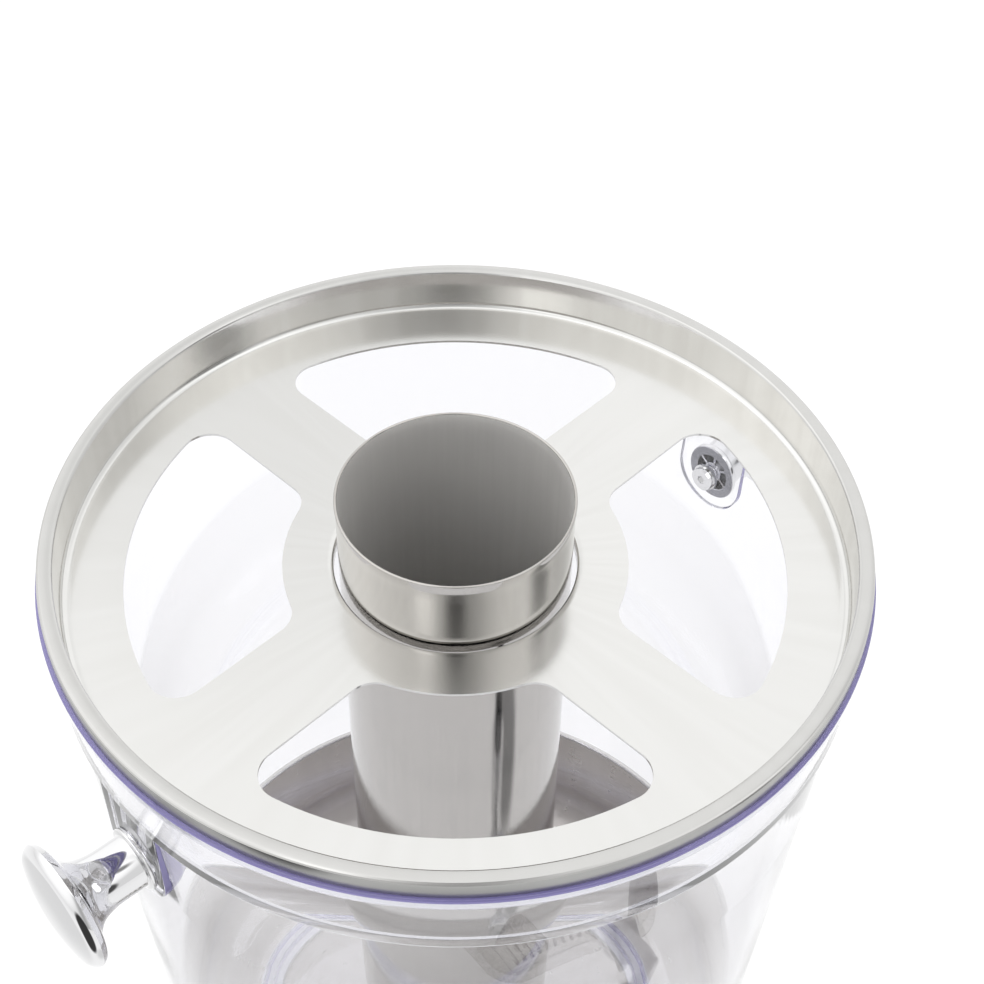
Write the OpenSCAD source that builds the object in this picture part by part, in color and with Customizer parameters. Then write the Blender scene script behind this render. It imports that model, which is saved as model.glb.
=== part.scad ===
/* [Base] */
// Height of the rubber feet
foot_h = 8; // [6:0.5:14]
// Radius of the rubber feet
foot_r = 10; // [8:0.5:11]
// Distance of the feet from the base's side
foot_inset = 12; // [11:0.5:14]
// Height of the base above its feet
base_h = 24; // [20:0.5:34]
// Radius of the base's front corners
base_front_r = 45; // [40:1:60]
// Sheet of the pressed base
base_sheet = 1.2; // [0.8:0.1:2]
// Thickness of the bottom plate
plate_t = 1.5; // [1:0.1:3]
// Radius of the pillars that hold the bottom plate
pillar_r = 5; // [4:0.5:6]
// Radius of the feet's screws
foot_screw_r = 2; // [1.5:0.25:2.5]

/* [Drip tray] */
// Width of the tray over its rim
tray_w = 190; // [160:1:220]
// Depth of the tray over its rim, front to back
tray_d = 118; // [90:1:140]
// Height of the tray
tray_h = 15; // [10:0.5:18]
// Radius of the tray's corners
tray_corner_r = 14; // [10:0.5:24]
// Sheet of the tray
tray_sheet = 0.8; // [0.6:0.1:1.2]
// Width of the tray's rim
tray_rim = 4; // [2:0.5:6]
// Gap round the tray in the base, and round the grille in the tray
tray_gap = 0.5; // [0.3:0.1:1.5]
// Base left beside the tray
tray_side = 23; // [21:1:30]
// Base left in front of the tray
tray_front = 13; // [10:1:20]
// Distance from the tray to the column
tray_to_column = 52; // [40:1:70]
// Sheet of the grille
grille_sheet = 1; // [0.8:0.1:1.5]
// Depth of the grille's folded edge
grille_edge_h = 5; // [3:0.5:7]
// Width of the grille's slots
slot_w = 5; // [3:0.5:6]
// Spacing of the grille's slots
slot_pitch = 11; // [9:0.5:14]
// Metal left round and between the rows of slots
slot_land = 9; // [7:0.5:12]

/* [Column] */
// Height of the column
column_h = 217; // [180:1:260]
// Outside radius of the column
column_r = 55; // [50:0.5:62]
// Wall of the column
column_wall = 1.5; // [1:0.1:2.5]
// Width of the column's inturned flanges
column_flange_w = 24; // [18:0.5:26]
// Thickness of the column's flanges
column_flange_t = 3; // [2:0.25:5]
// Bolts at each end of the column
bolt_count = 4; // [3:1:6]
// Radius of the stand's bolts
bolt_r = 3; // [2:0.25:4]

/* [Cup] */
// Height of the cup
cup_h = 57; // [50:0.5:62]
// Sheet of the cup
cup_sheet = 1; // [0.8:0.1:1.5]
// Inside radius of the cup's bottom corner
cup_corner_r = 22; // [16:0.5:24]
// Gap between the cup's rim and the tank
cup_gap = 0.8; // [0.5:0.1:1.5]
// Radius of the rolled bead on the cup's rim
cup_bead_r = 1.1; // [0.8:0.1:1.5]
// Radius of the hole in the cup's floor
cup_hole_r = 24; // [19:0.5:28]
// Thickness of the ring that the tank stands on
pad_t = 2; // [1:0.25:3.5]
// Width of that ring past the tank's foot, each side
pad_lap = 2; // [1:0.25:3]

/* [Tank] */
// Height of the tank from its foot to its flange
tank_h = 276.5; // [250:0.5:310]
// Inside radius of the tank's mouth
mouth_r = 112.6; // [108:0.2:118]
// Wall of the tank
tank_wall = 2.6; // [2:0.1:3.2]
// Lean of the tank's wall in degrees
tank_draft = 3; // [2:0.25:4]
// Width of the flange round the mouth
flange_w = 2; // [1:0.25:4]
// Thickness of the flange
flange_t = 3.75; // [2:0.25:5]
// Height of the band under the flange
band_h = 20.75; // [18:0.25:24]
// Step from the band to the wall
band_step = 1.3; // [0.8:0.1:2]
// Height of the ledge inside above the step outside
ledge_rise = 2; // [1:0.25:4]
// Outside radius of the tank's bottom corner
tank_corner_r = 24; // [18:0.5:26]
// Height of the tank's foot ring
foot_ring_h = 5; // [4.5:0.25:8]
// Width of the tank's foot ring
foot_ring_w = 4; // [3:0.25:6]

/* [Knobs] */
// Height of the knobs below the top of the flange
knob_drop = 48; // [42:0.5:60]
// Length of a knob
knob_l = 27.5; // [22:0.5:34]
// Radius of a knob's head
knob_head_r = 19; // [15:0.25:21]
// Radius of a knob's shaft
knob_shaft_r = 8; // [7:0.25:9]
// Wall of a knob's hollow shaft
knob_wall = 1.5; // [1:0.1:2]
// Depth of the hollow in a knob's shaft
knob_hollow = 12; // [8:0.5:16]
// Width of the flat pad under a knob
knob_pad_w = 26; // [22:0.5:30]
// Height of a knob pad's face over the tank's wall
knob_pad_proud = 1.6; // [1.2:0.1:2.4]
// Radius of the knob screws
knob_screw_r = 2; // [1.5:0.1:2.5]

/* [Lid] */
// Sheet of the lid
lid_sheet = 0.8; // [0.6:0.1:1.2]
// Gap between the lid and the tank's mouth
lid_gap = 0.3; // [0.2:0.05:1]
// Depth of the lid's disc below its lip
lid_depth = 14.25; // [11:0.25:18]
// Height of the lip over the flange
lip_h = 5.75; // [4:0.25:8]
// Width of the lip over the flange
lip_w = 4.1; // [2.2:0.1:4.5]
// Radius where the disc turns up into the lid's wall
lid_fillet = 2; // [1:0.25:4]
// Depth of the collar turned down round the lid's hole
lid_collar_h = 4; // [2:0.25:8]
// Turn of the lid on the tank in degrees
lid_turn = -40.7; // [-90:0.1:90]
// Inside radius of the windows
window_in_r = 49.4; // [46:0.2:56]
// Outside radius of the windows
window_out_r = 94.15; // [86:0.2:100]
// Width of the arms between the windows
arm_w = 29; // [24:0.5:34]
// Radius of the windows' corners
window_corner_r = 8.5; // [4:0.25:10]

/* [Ice tube] */
// Outside radius of the ice tube
tube_r = 33.4; // [28:0.2:36]
// Sheet of the ice tube
tube_sheet = 0.8; // [0.6:0.1:1.2]
// Height of the tube's rim over the lid's disc
tube_rise = 25; // [18:0.5:40]
// Flare of the tube's rim
tube_flare = 0.3; // [0.2:0.1:1]
// Height of the flared rim
tube_flare_h = 5; // [3:0.5:8]
// Gap round the tube in the lid
tube_gap = 1.45; // [1.2:0.05:5]
// Thickness of the tube's bottom
tube_base_t = 1.5; // [1:0.25:3]
// Radius of the stud under the tube
stud_r = 6; // [4:0.25:6.5]
// Height of the socket on the tank's floor
socket_h = 13; // [10:0.5:18]
// Radius of the socket's flange
socket_flange_r = 17; // [16:0.25:22]
// Radius of the socket's shank in the tank's floor
socket_shank_r = 9; // [8.5:0.25:11]

/* [Tap] */
// Height of the tap over the tank's floor
tap_rise = 28; // [26:0.5:34]
// Distance from the tank's tap pad to the spout's axis
tap_reach = 43.5; // [36:0.5:60]
// Radius of the tank's tap pad
tap_pad_r = 15.5; // [15:0.25:18]
// Radius of the tap's shank
shank_r = 9; // [8:0.25:10]
// Radius of the way through the shank
tap_bore_r = 6; // [4:0.25:6.5]
// Radius of the tap's flange
tap_flange_r = 20; // [19:0.25:24]
// Thickness of the tap's washers
washer_t = 2; // [1:0.25:3]
// Outside radius of the tap's chamber
chamber_r = 14; // [13.5:0.25:17]
// Wall of the chamber
chamber_wall = 3.5; // [2:0.25:3.75]
// Height of the chamber over the shank's axis
chamber_top = 20; // [18:0.5:26]
// Depth of the valve seat below the shank's axis
seat_drop = 14; // [13:0.25:18]
// Length of the spout below the seat
spout_l = 36; // [24:0.5:50]
// Radius of the way through the spout
spout_bore_r = 6.5; // [4:0.25:7]
// Wall of the spout
spout_wall = 2.5; // [1.5:0.25:4]
// Radius of the stem
stem_r = 3; // [2:0.25:3.5]
// Radius of the silicone cup that closes the seat
seat_cup_r = 8.5; // [8:0.1:9]
// Height of the bonnet
bonnet_h = 8; // [6:0.5:12]
// Radius of the lever's pin
pin_r = 2; // [1.5:0.1:2.5]
// Least radius of the lever's cam
cam_r = 6.5; // [6:0.25:9]
// Lift of the cam for each radian of tilt
cam_lift = 4; // [2:0.25:4.5]
// Tilt of the lever in degrees
lever_tilt = 85; // [45:1:90]
// Length of the lever above its pin
lever_l = 64; // [45:1:90]
// Radius of the lever's knob
grip_r = 9; // [8.5:0.25:12]

/* [Hidden] */
$fn = 96;
fit = 0.05;
hole_gap = 0.3;
eps = 0.5;
socket_r_ratio = 0.8;
socket_depth_ratio = 0.6;

base_w = tray_w + 2 * tray_side;
back_r = base_w / 2;
base_d = tray_front + tray_d + tray_to_column + column_r + back_r;
tank_y = base_d / 2 - back_r;
base_front_y = -base_d / 2;
base_top = foot_h + base_h;
shell_z = foot_h + plate_t;
pillar_h = base_top - base_sheet / 2 - shell_z;
foot_screw_l = foot_h / 2 + base_h / 2;
foot_pilot_h = base_h * 0.6;
foot_recess_r = foot_screw_r * 2.4;
foot_head_r = foot_screw_r * 2;
foot_head_h = foot_screw_r * 1.2;

tray_y = base_front_y + tray_front + tray_d / 2;
tray_top = base_top + tray_sheet;
tray_floor = tray_top - tray_h + tray_sheet;
grille_edge = tray_rim + tray_sheet + tray_gap;
grille_w = tray_w - 2 * grille_edge;
grille_d = tray_d - 2 * grille_edge;
grille_r = max(tray_corner_r - grille_edge, 1);
slot_l = (grille_d - 3 * slot_land) / 2;
slot_steps = floor((grille_w / 2 - slot_land - slot_w / 2) / slot_pitch);
leg_w = 14;

column_top = base_top + column_h;
bolt_circle_r = column_r - column_wall - column_flange_w / 2;
bolt_hole_r = bolt_r + hole_gap;
bolt_head_r = bolt_r * 1.75;
bolt_head_h = bolt_r;
nut_h = bolt_r * 1.6;
nut_r = bolt_r * 1.9;
bolt_past_nut = 1;

cup_floor = column_top + cup_sheet;
cup_rim_z = column_top + cup_h;

tank_z = cup_floor + pad_t;
flange_top = tank_z + tank_h;
flange_z = flange_top - flange_t;
mouth_out = mouth_r + tank_wall;
flange_r = mouth_out + flange_w;
step_z = flange_z - band_h;
ledge_z = step_z + ledge_rise;
wall_top_r = mouth_out - band_step;
floor_z = tank_z + foot_ring_h;
floor_in = floor_z + tank_wall;
corner_z = floor_z + tank_corner_r;
corner_x = wall_r(corner_z - tank_corner_r * sin(tank_draft)) - tank_corner_r * cos(tank_draft);
foot_ring_out = corner_x - eps;
foot_ring_in = foot_ring_out - foot_ring_w;
cup_r = wall_r(cup_rim_z) + cup_gap;

knob_z = flange_top - knob_drop;
knob_face = wall_r(knob_z) + knob_pad_proud;
knob_washer_t = 1;
knob_washer_r = 4.6;
knob_seat = sqrt(pow(wall_in_r(knob_z - knob_washer_r), 2) - pow(knob_washer_r, 2));
knob_core_r = knob_screw_r + 1.6;
knob_collar_t = 1.5;
knob_collar_r = knob_shaft_r + 1.7;
knob_rim = 3;
knob_flare = knob_head_r - knob_shaft_r;
knob_neck = knob_l - knob_rim - knob_flare * 0.75;
knob_pilot = knob_hollow + 2;

lid_wall_out = mouth_r - lid_gap;
lid_wall_in = lid_wall_out - lid_sheet;
lip_out = lid_wall_out + lip_w;
lip_round = 1.2;
lid_bend = lid_sheet + 0.1;
lid_z = flange_top + lip_h - lid_depth;
lid_hole_r = tube_r + tube_gap;

gasket_t = 1.5;
socket_z = floor_in + gasket_t;
socket_top = socket_z + socket_h;
socket_neck_r = stud_r + 5;
socket_flange_t = 4;
socket_depth = socket_h - 1;
socket_nut_h = foot_ring_h - eps;
tube_seal_t = 1.5;
tube_z = socket_top + tube_seal_t;
tube_shell_z = tube_z + tube_base_t;
tube_top = lid_z + tube_rise;
tube_in_r = tube_r - tube_sheet;
stud_head_z = tube_shell_z + 3;
stud_head_r = stud_r + 4;
stud_head_h = 3;
stud_end = socket_top - socket_depth + 1;
socket_nut_r = socket_shank_r + 5;
flare_mid = tube_flare * 0.35;
flare_mid_z = tube_top - tube_flare_h * 0.4;

tap_z = floor_in + tap_rise;
tap_face = cup_r + cup_sheet + 1.2;
tap_boss = wall_in_r(tap_z) - 4;
tap_flange_face = tap_face + washer_t;
tap_flange_t = 3;
tap_axis = tap_face + tap_reach;
tap_nut_t = 8;
tap_washer_r = tap_pad_r - 1.5;
tap_nut_r = tap_pad_r - 1.6;
shank_end = tap_boss - washer_t - tap_nut_t - 2;
neck_r = shank_r + 2;
notch_r = tap_pad_r + 2.5;
chamber_bore_r = chamber_r - chamber_wall;
seat_t = 5;
spout_r = spout_bore_r + spout_wall;
chamber_z = -seat_drop - seat_t;
spout_z = -seat_drop - spout_l;
seal_t = 1;
plug_h = 6;
bonnet_z = chamber_top + seal_t;
bonnet_top = bonnet_z + bonnet_h;
bonnet_r = chamber_r + 1;
seat_cup_h = 8;
seat_cup_floor = 2;
pin_z = bonnet_top + cam_r + hole_gap;
eye_r = pin_r + 3;
eye_w = 8;
cheek_t = 4;
cheek_x = eye_w / 2 + hole_gap;
bridge_z = eye_r + 2.5;
bridge_t = 6;
fork_w = 2 * (cheek_x + cheek_t);
fork_d = 14;
bridge_top = bridge_z + bridge_t;
grip_neck_r = 5.5;
grip_root_r = grip_neck_r + 1.4;
grip_neck_z = bridge_top + 7;
grip_start = -35;
pin_half = fork_w / 2 + 0.6;
spring_wire_r = 0.6;
spring_r = (stem_r + chamber_bore_r) / 2;
spring_turns = 6;
spring_rings = 10;
spring_sides = 6;
spring_z0 = -seat_drop + seat_cup_h + spring_wire_r;
spring_z1 = bonnet_z - plug_h - spring_wire_r;

steel = "#c9ccd0";
satin = "#b9bcc0";
plated = "#d7dade";
clear = [0.86, 0.88, 0.97, 0.4];
rubber = "#2a2a2c";
silicone = "#e6e6e2";
black = "#1d1d1f";

// Outside and inside radius of the tank's leaning wall at height z
function wall_r(z) = wall_top_r - tan(tank_draft) * (step_z - z);
function wall_in_r(z) = wall_r(z) - tank_wall / cos(tank_draft);

function arc(c, r, a0, a1, n) =
    [for (i = [0:n]) let (a = a0 + (a1 - a0) * i / n) c + r * [cos(a), sin(a)]];

function reversed(pts) = [for (i = [len(pts) - 1:-1:0]) pts[i]];

function mirrored(pts) = [for (p = reversed(pts)) [-p[0], p[1]]];

function base_outline(inset) =
    let (
        r = back_r - inset,
        f = base_front_r - inset,
        y = base_front_y + inset + f
    )
    concat(
        arc([0, tank_y], r, 0, 180, 48),
        arc([f - r, y], f, 180, 270, 12),
        arc([r - f, y], f, 270, 360, 12)
    );

function rounded(w, d, r) =
    let (x = w / 2 - r, y = d / 2 - r)
    concat(
        arc([x, y], r, 0, 90, 8),
        arc([-x, y], r, 90, 180, 8),
        arc([-x, -y], r, 180, 270, 8),
        arc([x, -y], r, 270, 360, 8)
    );

// One window of the lid, between two arms, symmetrical about +Y
function window_outline() =
    let (
        f = window_corner_r,
        v = arm_w / 2 + f,
        u_out = sqrt(pow(window_out_r - f, 2) - v * v),
        u_in = sqrt(pow(window_in_r + f, 2) - v * v),
        a_out = 45 + atan2(v, u_out),
        a_in = 45 + atan2(v, u_in),
        c_out = (window_out_r - f) * [cos(a_out), sin(a_out)],
        c_in = (window_in_r + f) * [cos(a_in), sin(a_in)],
        half = concat(
            arc([0, 0], window_in_r, 90, a_in, 4),
            arc(c_in, f, a_in + 180, 315, 6),
            arc(c_out, f, -45, a_out, 6),
            arc([0, 0], window_out_r, a_out, 90, 8)
        )
    )
    concat(half, mirrored(half));

function tank_outer() = concat(
    [[0, floor_z]],
    arc([corner_x, corner_z], tank_corner_r, -90, -tank_draft, 10),
    [
        [wall_top_r, step_z],
        [mouth_out, step_z],
        [mouth_out, flange_z],
        [flange_r, flange_z],
        [flange_r, flange_top],
        [0, flange_top]
    ]
);

function tank_inner() = concat(
    [[0, floor_in]],
    arc([corner_x, corner_z], tank_corner_r - tank_wall, -90, -tank_draft, 10),
    [
        [wall_in_r(ledge_z), ledge_z],
        [mouth_r, ledge_z],
        [mouth_r, flange_top + eps],
        [0, flange_top + eps]
    ]
);

function lid_profile() =
    let (
        x = lid_wall_in - lid_fillet,
        top = lid_depth - lip_round,
        under = lid_depth - lid_sheet,
        collar = [lid_hole_r + lid_bend, -lid_bend]
    )
    concat(
        [[lid_hole_r, -lid_collar_h]],
        arc(collar, lid_bend, 180, 90, 4),
        arc([x, lid_fillet], lid_fillet, -90, 0, 6),
        arc([lid_wall_in + lip_round, top], lip_round, 180, 90, 5),
        arc([lip_out - lip_round, top], lip_round, 90, 0, 5),
        [
            [lip_out, lid_depth - lip_h],
            [lip_out - lid_sheet, lid_depth - lip_h],
            [lip_out - lid_sheet, under],
            [lid_wall_out, under]
        ],
        arc([x, lid_fillet], lid_fillet + lid_sheet, 0, -90, 6),
        arc(collar, lid_bend - lid_sheet, 90, 180, 4),
        [[lid_hole_r + lid_sheet, -lid_collar_h]]
    );

// Cam and cheek of the lever about its pin: the involute lifts the pin evenly as the lever tips forward
function cam_point(t) =
    (cam_r + cam_lift * t * PI / 180) * [-sin(t), -cos(t)] + cam_lift * [-cos(t), sin(t)];

function cheek_outline() = concat(
    [for (i = [0:14]) cam_point(lever_tilt * i / 14)],
    [[-fork_d / 2, bridge_top], [fork_d / 2, bridge_top]],
    arc([0, 0], cam_r, 0, -90, 8)
);

// Ring i of the valve spring
function spring_ring(i) =
    let (
        s = i / (spring_turns * spring_rings),
        a = 360 * i / spring_rings,
        z = spring_z0 + (spring_z1 - spring_z0) * s
    )
    [for (k = [0:spring_sides - 1])
        let (b = 360 * k / spring_sides, r = spring_r + spring_wire_r * cos(b))
        [r * cos(a), r * sin(a), z + spring_wire_r * sin(b)]];

module at_axis() {
    translate([0, tank_y, 0]) children();
}

module at_tap() {
    translate([0, tank_y - tap_axis, tap_z]) children();
}

module rod_x(r, x0, x1) {
    translate([x0, 0, 0]) rotate([0, 90, 0]) cylinder(r = r, h = x1 - x0);
}

// Rod on the tap's axis between two distances from the tank's axis, towards the front
module tap_rod(r, d0, d1) {
    translate([0, tank_y - d1, tap_z]) rotate([-90, 0, 0]) cylinder(r = r, h = d1 - d0);
}

module ring(r_out, r_in, h) {
    difference() {
        cylinder(r = r_out, h = h);
        translate([0, 0, -eps]) cylinder(r = r_in, h = h + 2 * eps);
    }
}

module hex_nut(r, bore_r, h) {
    difference() {
        cylinder(r = r, h = h, $fn = 6);
        translate([0, 0, -eps]) cylinder(r = bore_r, h = h + 2 * eps);
    }
}

// Screw with its head above z = 0 and its shank below
module socket_screw(r, l, head_r, head_h) {
    difference() {
        union() {
            translate([0, 0, -l]) cylinder(r = r, h = l + head_h / 2);
            cylinder(r = head_r, h = head_h);
        }
        translate([0, 0, head_h * (1 - socket_depth_ratio)])
            cylinder(r = r * socket_r_ratio, h = head_h, $fn = 6);
    }
}

module on_bolt_circle() {
    for (i = [0:bolt_count - 1])
        at_axis() rotate(45 + 360 * i / bolt_count) translate([bolt_circle_r, 0, 0]) children();
}

module on_feet() {
    for (side = [-1, 1]) {
        translate([side * (back_r - foot_inset), base_front_y + base_front_r, 0]) children();
        at_axis() rotate(90 - side * 45) translate([back_r - foot_inset - foot_r, 0, 0]) children();
    }
}

module on_knobs() {
    at_axis() for (turn = [0, 180]) rotate(turn) translate([0, 0, knob_z]) children();
}

module base_shell() {
    color(satin) difference() {
        union() {
            difference() {
                translate([0, 0, shell_z]) linear_extrude(base_top - shell_z) polygon(base_outline(0));
                translate([0, 0, shell_z - eps])
                    linear_extrude(base_top - base_sheet - shell_z + eps) polygon(base_outline(base_sheet));
            }
            on_feet() translate([0, 0, shell_z]) cylinder(r = pillar_r, h = pillar_h);
        }
        translate([0, tray_y, shell_z]) linear_extrude(base_h)
            polygon(rounded(
                tray_w - 2 * (tray_rim - tray_gap),
                tray_d - 2 * (tray_rim - tray_gap),
                tray_corner_r - tray_rim + tray_gap
            ));
        on_bolt_circle() translate([0, 0, shell_z]) cylinder(r = bolt_hole_r, h = base_h);
        on_feet() translate([0, 0, shell_z - eps]) cylinder(r = foot_screw_r + fit, h = foot_pilot_h);
    }
}

module base_plate() {
    color(satin) difference() {
        translate([0, 0, foot_h]) linear_extrude(plate_t) polygon(base_outline(base_sheet / 2));
        on_feet() cylinder(r = foot_screw_r + hole_gap, h = shell_z + eps);
    }
}

module rubber_feet() {
    color(rubber) on_feet() difference() {
        cylinder(r = foot_r, h = foot_h);
        translate([0, 0, -eps]) cylinder(r = foot_screw_r + hole_gap, h = foot_h + 2 * eps);
        translate([0, 0, -eps]) cylinder(r = foot_recess_r, h = foot_h / 2 + eps);
    }
}

module feet_screws() {
    color(plated) on_feet() translate([0, 0, foot_h / 2]) mirror([0, 0, 1])
        socket_screw(foot_screw_r, foot_screw_l, foot_head_r, foot_head_h);
}

module column() {
    flange_in = column_r - column_wall - column_flange_w;
    color(steel) difference() {
        at_axis() rotate_extrude() polygon([
            [flange_in, base_top],
            [column_r, base_top],
            [column_r, column_top],
            [flange_in, column_top],
            [flange_in, column_top - column_flange_t],
            [column_r - column_wall, column_top - column_flange_t],
            [column_r - column_wall, base_top + column_flange_t],
            [flange_in, base_top + column_flange_t]
        ]);
        on_bolt_circle() translate([0, 0, base_top - eps])
            cylinder(r = bolt_hole_r, h = column_h + 2 * eps);
    }
}

module column_bolts() {
    grip = base_sheet + column_flange_t + nut_h + bolt_past_nut;
    color(plated) on_bolt_circle() translate([0, 0, base_top - base_sheet]) mirror([0, 0, 1])
        socket_screw(bolt_r, grip, bolt_head_r, bolt_head_h);
}

module column_nuts() {
    color(plated) on_bolt_circle() translate([0, 0, base_top + column_flange_t])
        hex_nut(nut_r, bolt_r + fit, nut_h);
}

module tank_cup() {
    r = cup_r;
    z = cup_floor + cup_corner_r;
    color(satin) difference() {
        at_axis() rotate_extrude() union() {
            polygon(concat(
                [[cup_hole_r, column_top]],
                arc([r - cup_corner_r, z], cup_corner_r + cup_sheet, -90, 0, 10),
                [[r + cup_sheet, cup_rim_z], [r, cup_rim_z]],
                arc([r - cup_corner_r, z], cup_corner_r, 0, -90, 10),
                [[cup_hole_r, cup_floor]]
            ));
            translate([r + cup_bead_r, cup_rim_z]) circle(cup_bead_r);
        }
        tap_rod(notch_r, r - cup_corner_r, r + cup_corner_r);
        translate([-notch_r, tank_y - r - cup_corner_r, tap_z])
            cube([2 * notch_r, 2 * cup_corner_r, cup_h]);
        on_bolt_circle() translate([0, 0, column_top - eps])
            cylinder(r = bolt_hole_r, h = cup_sheet + 2 * eps);
    }
}

module cup_bolts() {
    grip = cup_sheet + column_flange_t + nut_h + bolt_past_nut;
    color(plated) on_bolt_circle() translate([0, 0, cup_floor])
        socket_screw(bolt_r, grip, bolt_head_r, bolt_head_h);
}

module cup_nuts() {
    color(plated) on_bolt_circle() translate([0, 0, column_top - column_flange_t - nut_h])
        hex_nut(nut_r, bolt_r + fit, nut_h);
}

module cup_pad() {
    color(silicone) at_axis() translate([0, 0, cup_floor])
        ring(foot_ring_out + pad_lap, foot_ring_in - pad_lap, pad_t);
}

module drip_tray() {
    w = tray_w - 2 * tray_rim;
    d = tray_d - 2 * tray_rim;
    r = tray_corner_r - tray_rim;
    color(steel) translate([0, tray_y, 0]) difference() {
        union() {
            translate([0, 0, base_top]) linear_extrude(tray_sheet)
                polygon(rounded(tray_w, tray_d, tray_corner_r));
            translate([0, 0, tray_top - tray_h]) linear_extrude(tray_h - eps)
                polygon(rounded(w, d, r));
        }
        translate([0, 0, tray_floor]) linear_extrude(tray_h)
            polygon(rounded(w - 2 * tray_sheet, d - 2 * tray_sheet, r - tray_sheet));
    }
}

module slot() {
    square([slot_w, slot_l - slot_w], center = true);
    for (end = [-1, 1]) translate([0, end * (slot_l - slot_w) / 2]) circle(slot_w / 2);
}

module drip_grille() {
    z = tray_top - grille_sheet;
    inner_w = grille_w - 2 * grille_sheet;
    inner_d = grille_d - 2 * grille_sheet;
    leg_y = (grille_d - grille_sheet) / 2;
    color(steel) translate([0, tray_y, 0]) {
        difference() {
            translate([0, 0, tray_top - grille_edge_h]) linear_extrude(grille_edge_h)
                polygon(rounded(grille_w, grille_d, grille_r));
            translate([0, 0, z - grille_edge_h]) linear_extrude(grille_edge_h)
                polygon(rounded(inner_w, inner_d, max(grille_r - grille_sheet, 0.5)));
            for (row = [-1, 1], i = [-slot_steps:slot_steps])
                translate([i * slot_pitch, row * (slot_l + slot_land) / 2, z - eps])
                    linear_extrude(grille_sheet + 2 * eps) slot();
        }
        for (x = [-1, 1], y = [-1, 1])
            translate([x * inner_w / 4 - leg_w / 2, y * leg_y - grille_sheet / 2, tray_floor])
                cube([leg_w, grille_sheet, tray_top - grille_edge_h / 2 - tray_floor]);
    }
}

module tank() {
    color(clear) difference() {
        union() {
            difference() {
                union() {
                    at_axis() rotate_extrude() polygon(tank_outer());
                    at_axis() rotate_extrude() translate([foot_ring_in, tank_z])
                        square([foot_ring_w, foot_ring_h + tank_wall / 2]);
                    on_knobs() rotate([90, 0, 90]) linear_extrude(knob_face) {
                        circle(knob_pad_w / 2);
                        translate([-knob_pad_w / 2, 0]) square([knob_pad_w, step_z - knob_z + ledge_rise]);
                    }
                    tap_rod(tap_pad_r, corner_x, tap_face);
                }
                at_axis() rotate_extrude() polygon(tank_inner());
            }
            tap_rod(tap_pad_r, tap_boss, wall_in_r(tap_z) + tank_wall / 2);
        }
        on_knobs() rod_x(knob_screw_r + hole_gap, corner_x, flange_r);
        tap_rod(shank_r + hole_gap, corner_x, tap_face + eps);
        at_axis() translate([0, 0, tank_z])
            cylinder(r = socket_shank_r + hole_gap, h = floor_in - tank_z + eps);
    }
}

// Knob along +X from the pad's face, hollow behind, with a core for its screw
module knob() {
    difference() {
        rotate([0, 90, 0]) rotate_extrude() polygon(concat(
            [[0, 0], [knob_collar_r, 0], [knob_collar_r, knob_collar_t], [knob_shaft_r, knob_collar_t]],
            [for (i = [0:8]) let (a = 90 * i / 8) [
                knob_shaft_r + (knob_flare - knob_rim / 2) * (1 - cos(a)),
                knob_neck + (knob_l - 2 * knob_rim - knob_neck) * sin(a)
            ]],
            arc([knob_head_r - knob_rim / 2, knob_l - 1.5 * knob_rim], knob_rim / 2, -60, 60, 6),
            [for (i = [0:6]) let (s = i / 6)
                [(knob_head_r - knob_rim / 2) * (1 - s), knob_l - knob_rim * pow(1 - s, 2)]]
        ));
        difference() {
            rod_x(knob_shaft_r - knob_wall, -eps, knob_hollow);
            rod_x(knob_core_r, -2 * eps, knob_hollow + eps);
        }
        rod_x(knob_screw_r + fit, -eps, knob_pilot);
    }
}

module knob_right() {
    color(plated) at_axis() translate([knob_face, 0, knob_z]) knob();
}

module knob_left() {
    color(plated) at_axis() rotate(180) translate([knob_face, 0, knob_z]) knob();
}

module knob_screws() {
    head_h = knob_screw_r * 0.9;
    grip = knob_face - knob_seat + knob_washer_t + knob_hollow;
    color(plated) on_knobs() translate([knob_seat - knob_washer_t, 0, 0]) rotate([0, -90, 0])
        socket_screw(knob_screw_r, grip, knob_screw_r * 2, head_h);
}

module knob_washers() {
    color(plated) on_knobs() translate([knob_seat - knob_washer_t, 0, 0]) rotate([0, 90, 0])
        ring(knob_washer_r, knob_screw_r + hole_gap, knob_washer_t);
}

module tube_socket() {
    shank_z = floor_z - socket_nut_h;
    color(steel) at_axis() difference() {
        union() {
            translate([0, 0, shank_z])
                cylinder(r = socket_shank_r, h = socket_top - shank_z - socket_flange_t);
            translate([0, 0, socket_z]) cylinder(r = socket_flange_r, h = socket_flange_t);
            translate([0, 0, socket_z]) cylinder(r = socket_neck_r, h = socket_h);
        }
        translate([0, 0, socket_top - socket_depth]) cylinder(r = stud_r + fit, h = socket_depth + eps);
    }
}

module socket_gasket() {
    color(silicone) at_axis() translate([0, 0, floor_in])
        ring(socket_flange_r - 1, socket_shank_r + hole_gap, gasket_t);
}

module socket_nut() {
    color(steel) at_axis() translate([0, 0, floor_z - socket_nut_h])
        hex_nut(socket_nut_r, socket_shank_r + fit, socket_nut_h);
}

module tap_body() {
    color(plated) difference() {
        union() {
            tap_rod(shank_r, shank_end, tap_flange_face + eps);
            tap_rod(tap_flange_r, tap_flange_face, tap_flange_face + tap_flange_t);
            tap_rod(neck_r, tap_flange_face + eps, tap_axis);
            at_tap() translate([0, 0, chamber_z]) cylinder(r = chamber_r, h = chamber_top - chamber_z);
        }
        tap_rod(tap_bore_r, shank_end - eps, tap_axis);
        at_tap() translate([0, 0, -seat_drop])
            cylinder(r = chamber_bore_r, h = chamber_top + seat_drop + eps);
        at_tap() translate([0, 0, chamber_z - eps]) cylinder(r = spout_r + fit, h = seat_t + 2 * eps);
    }
}

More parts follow.
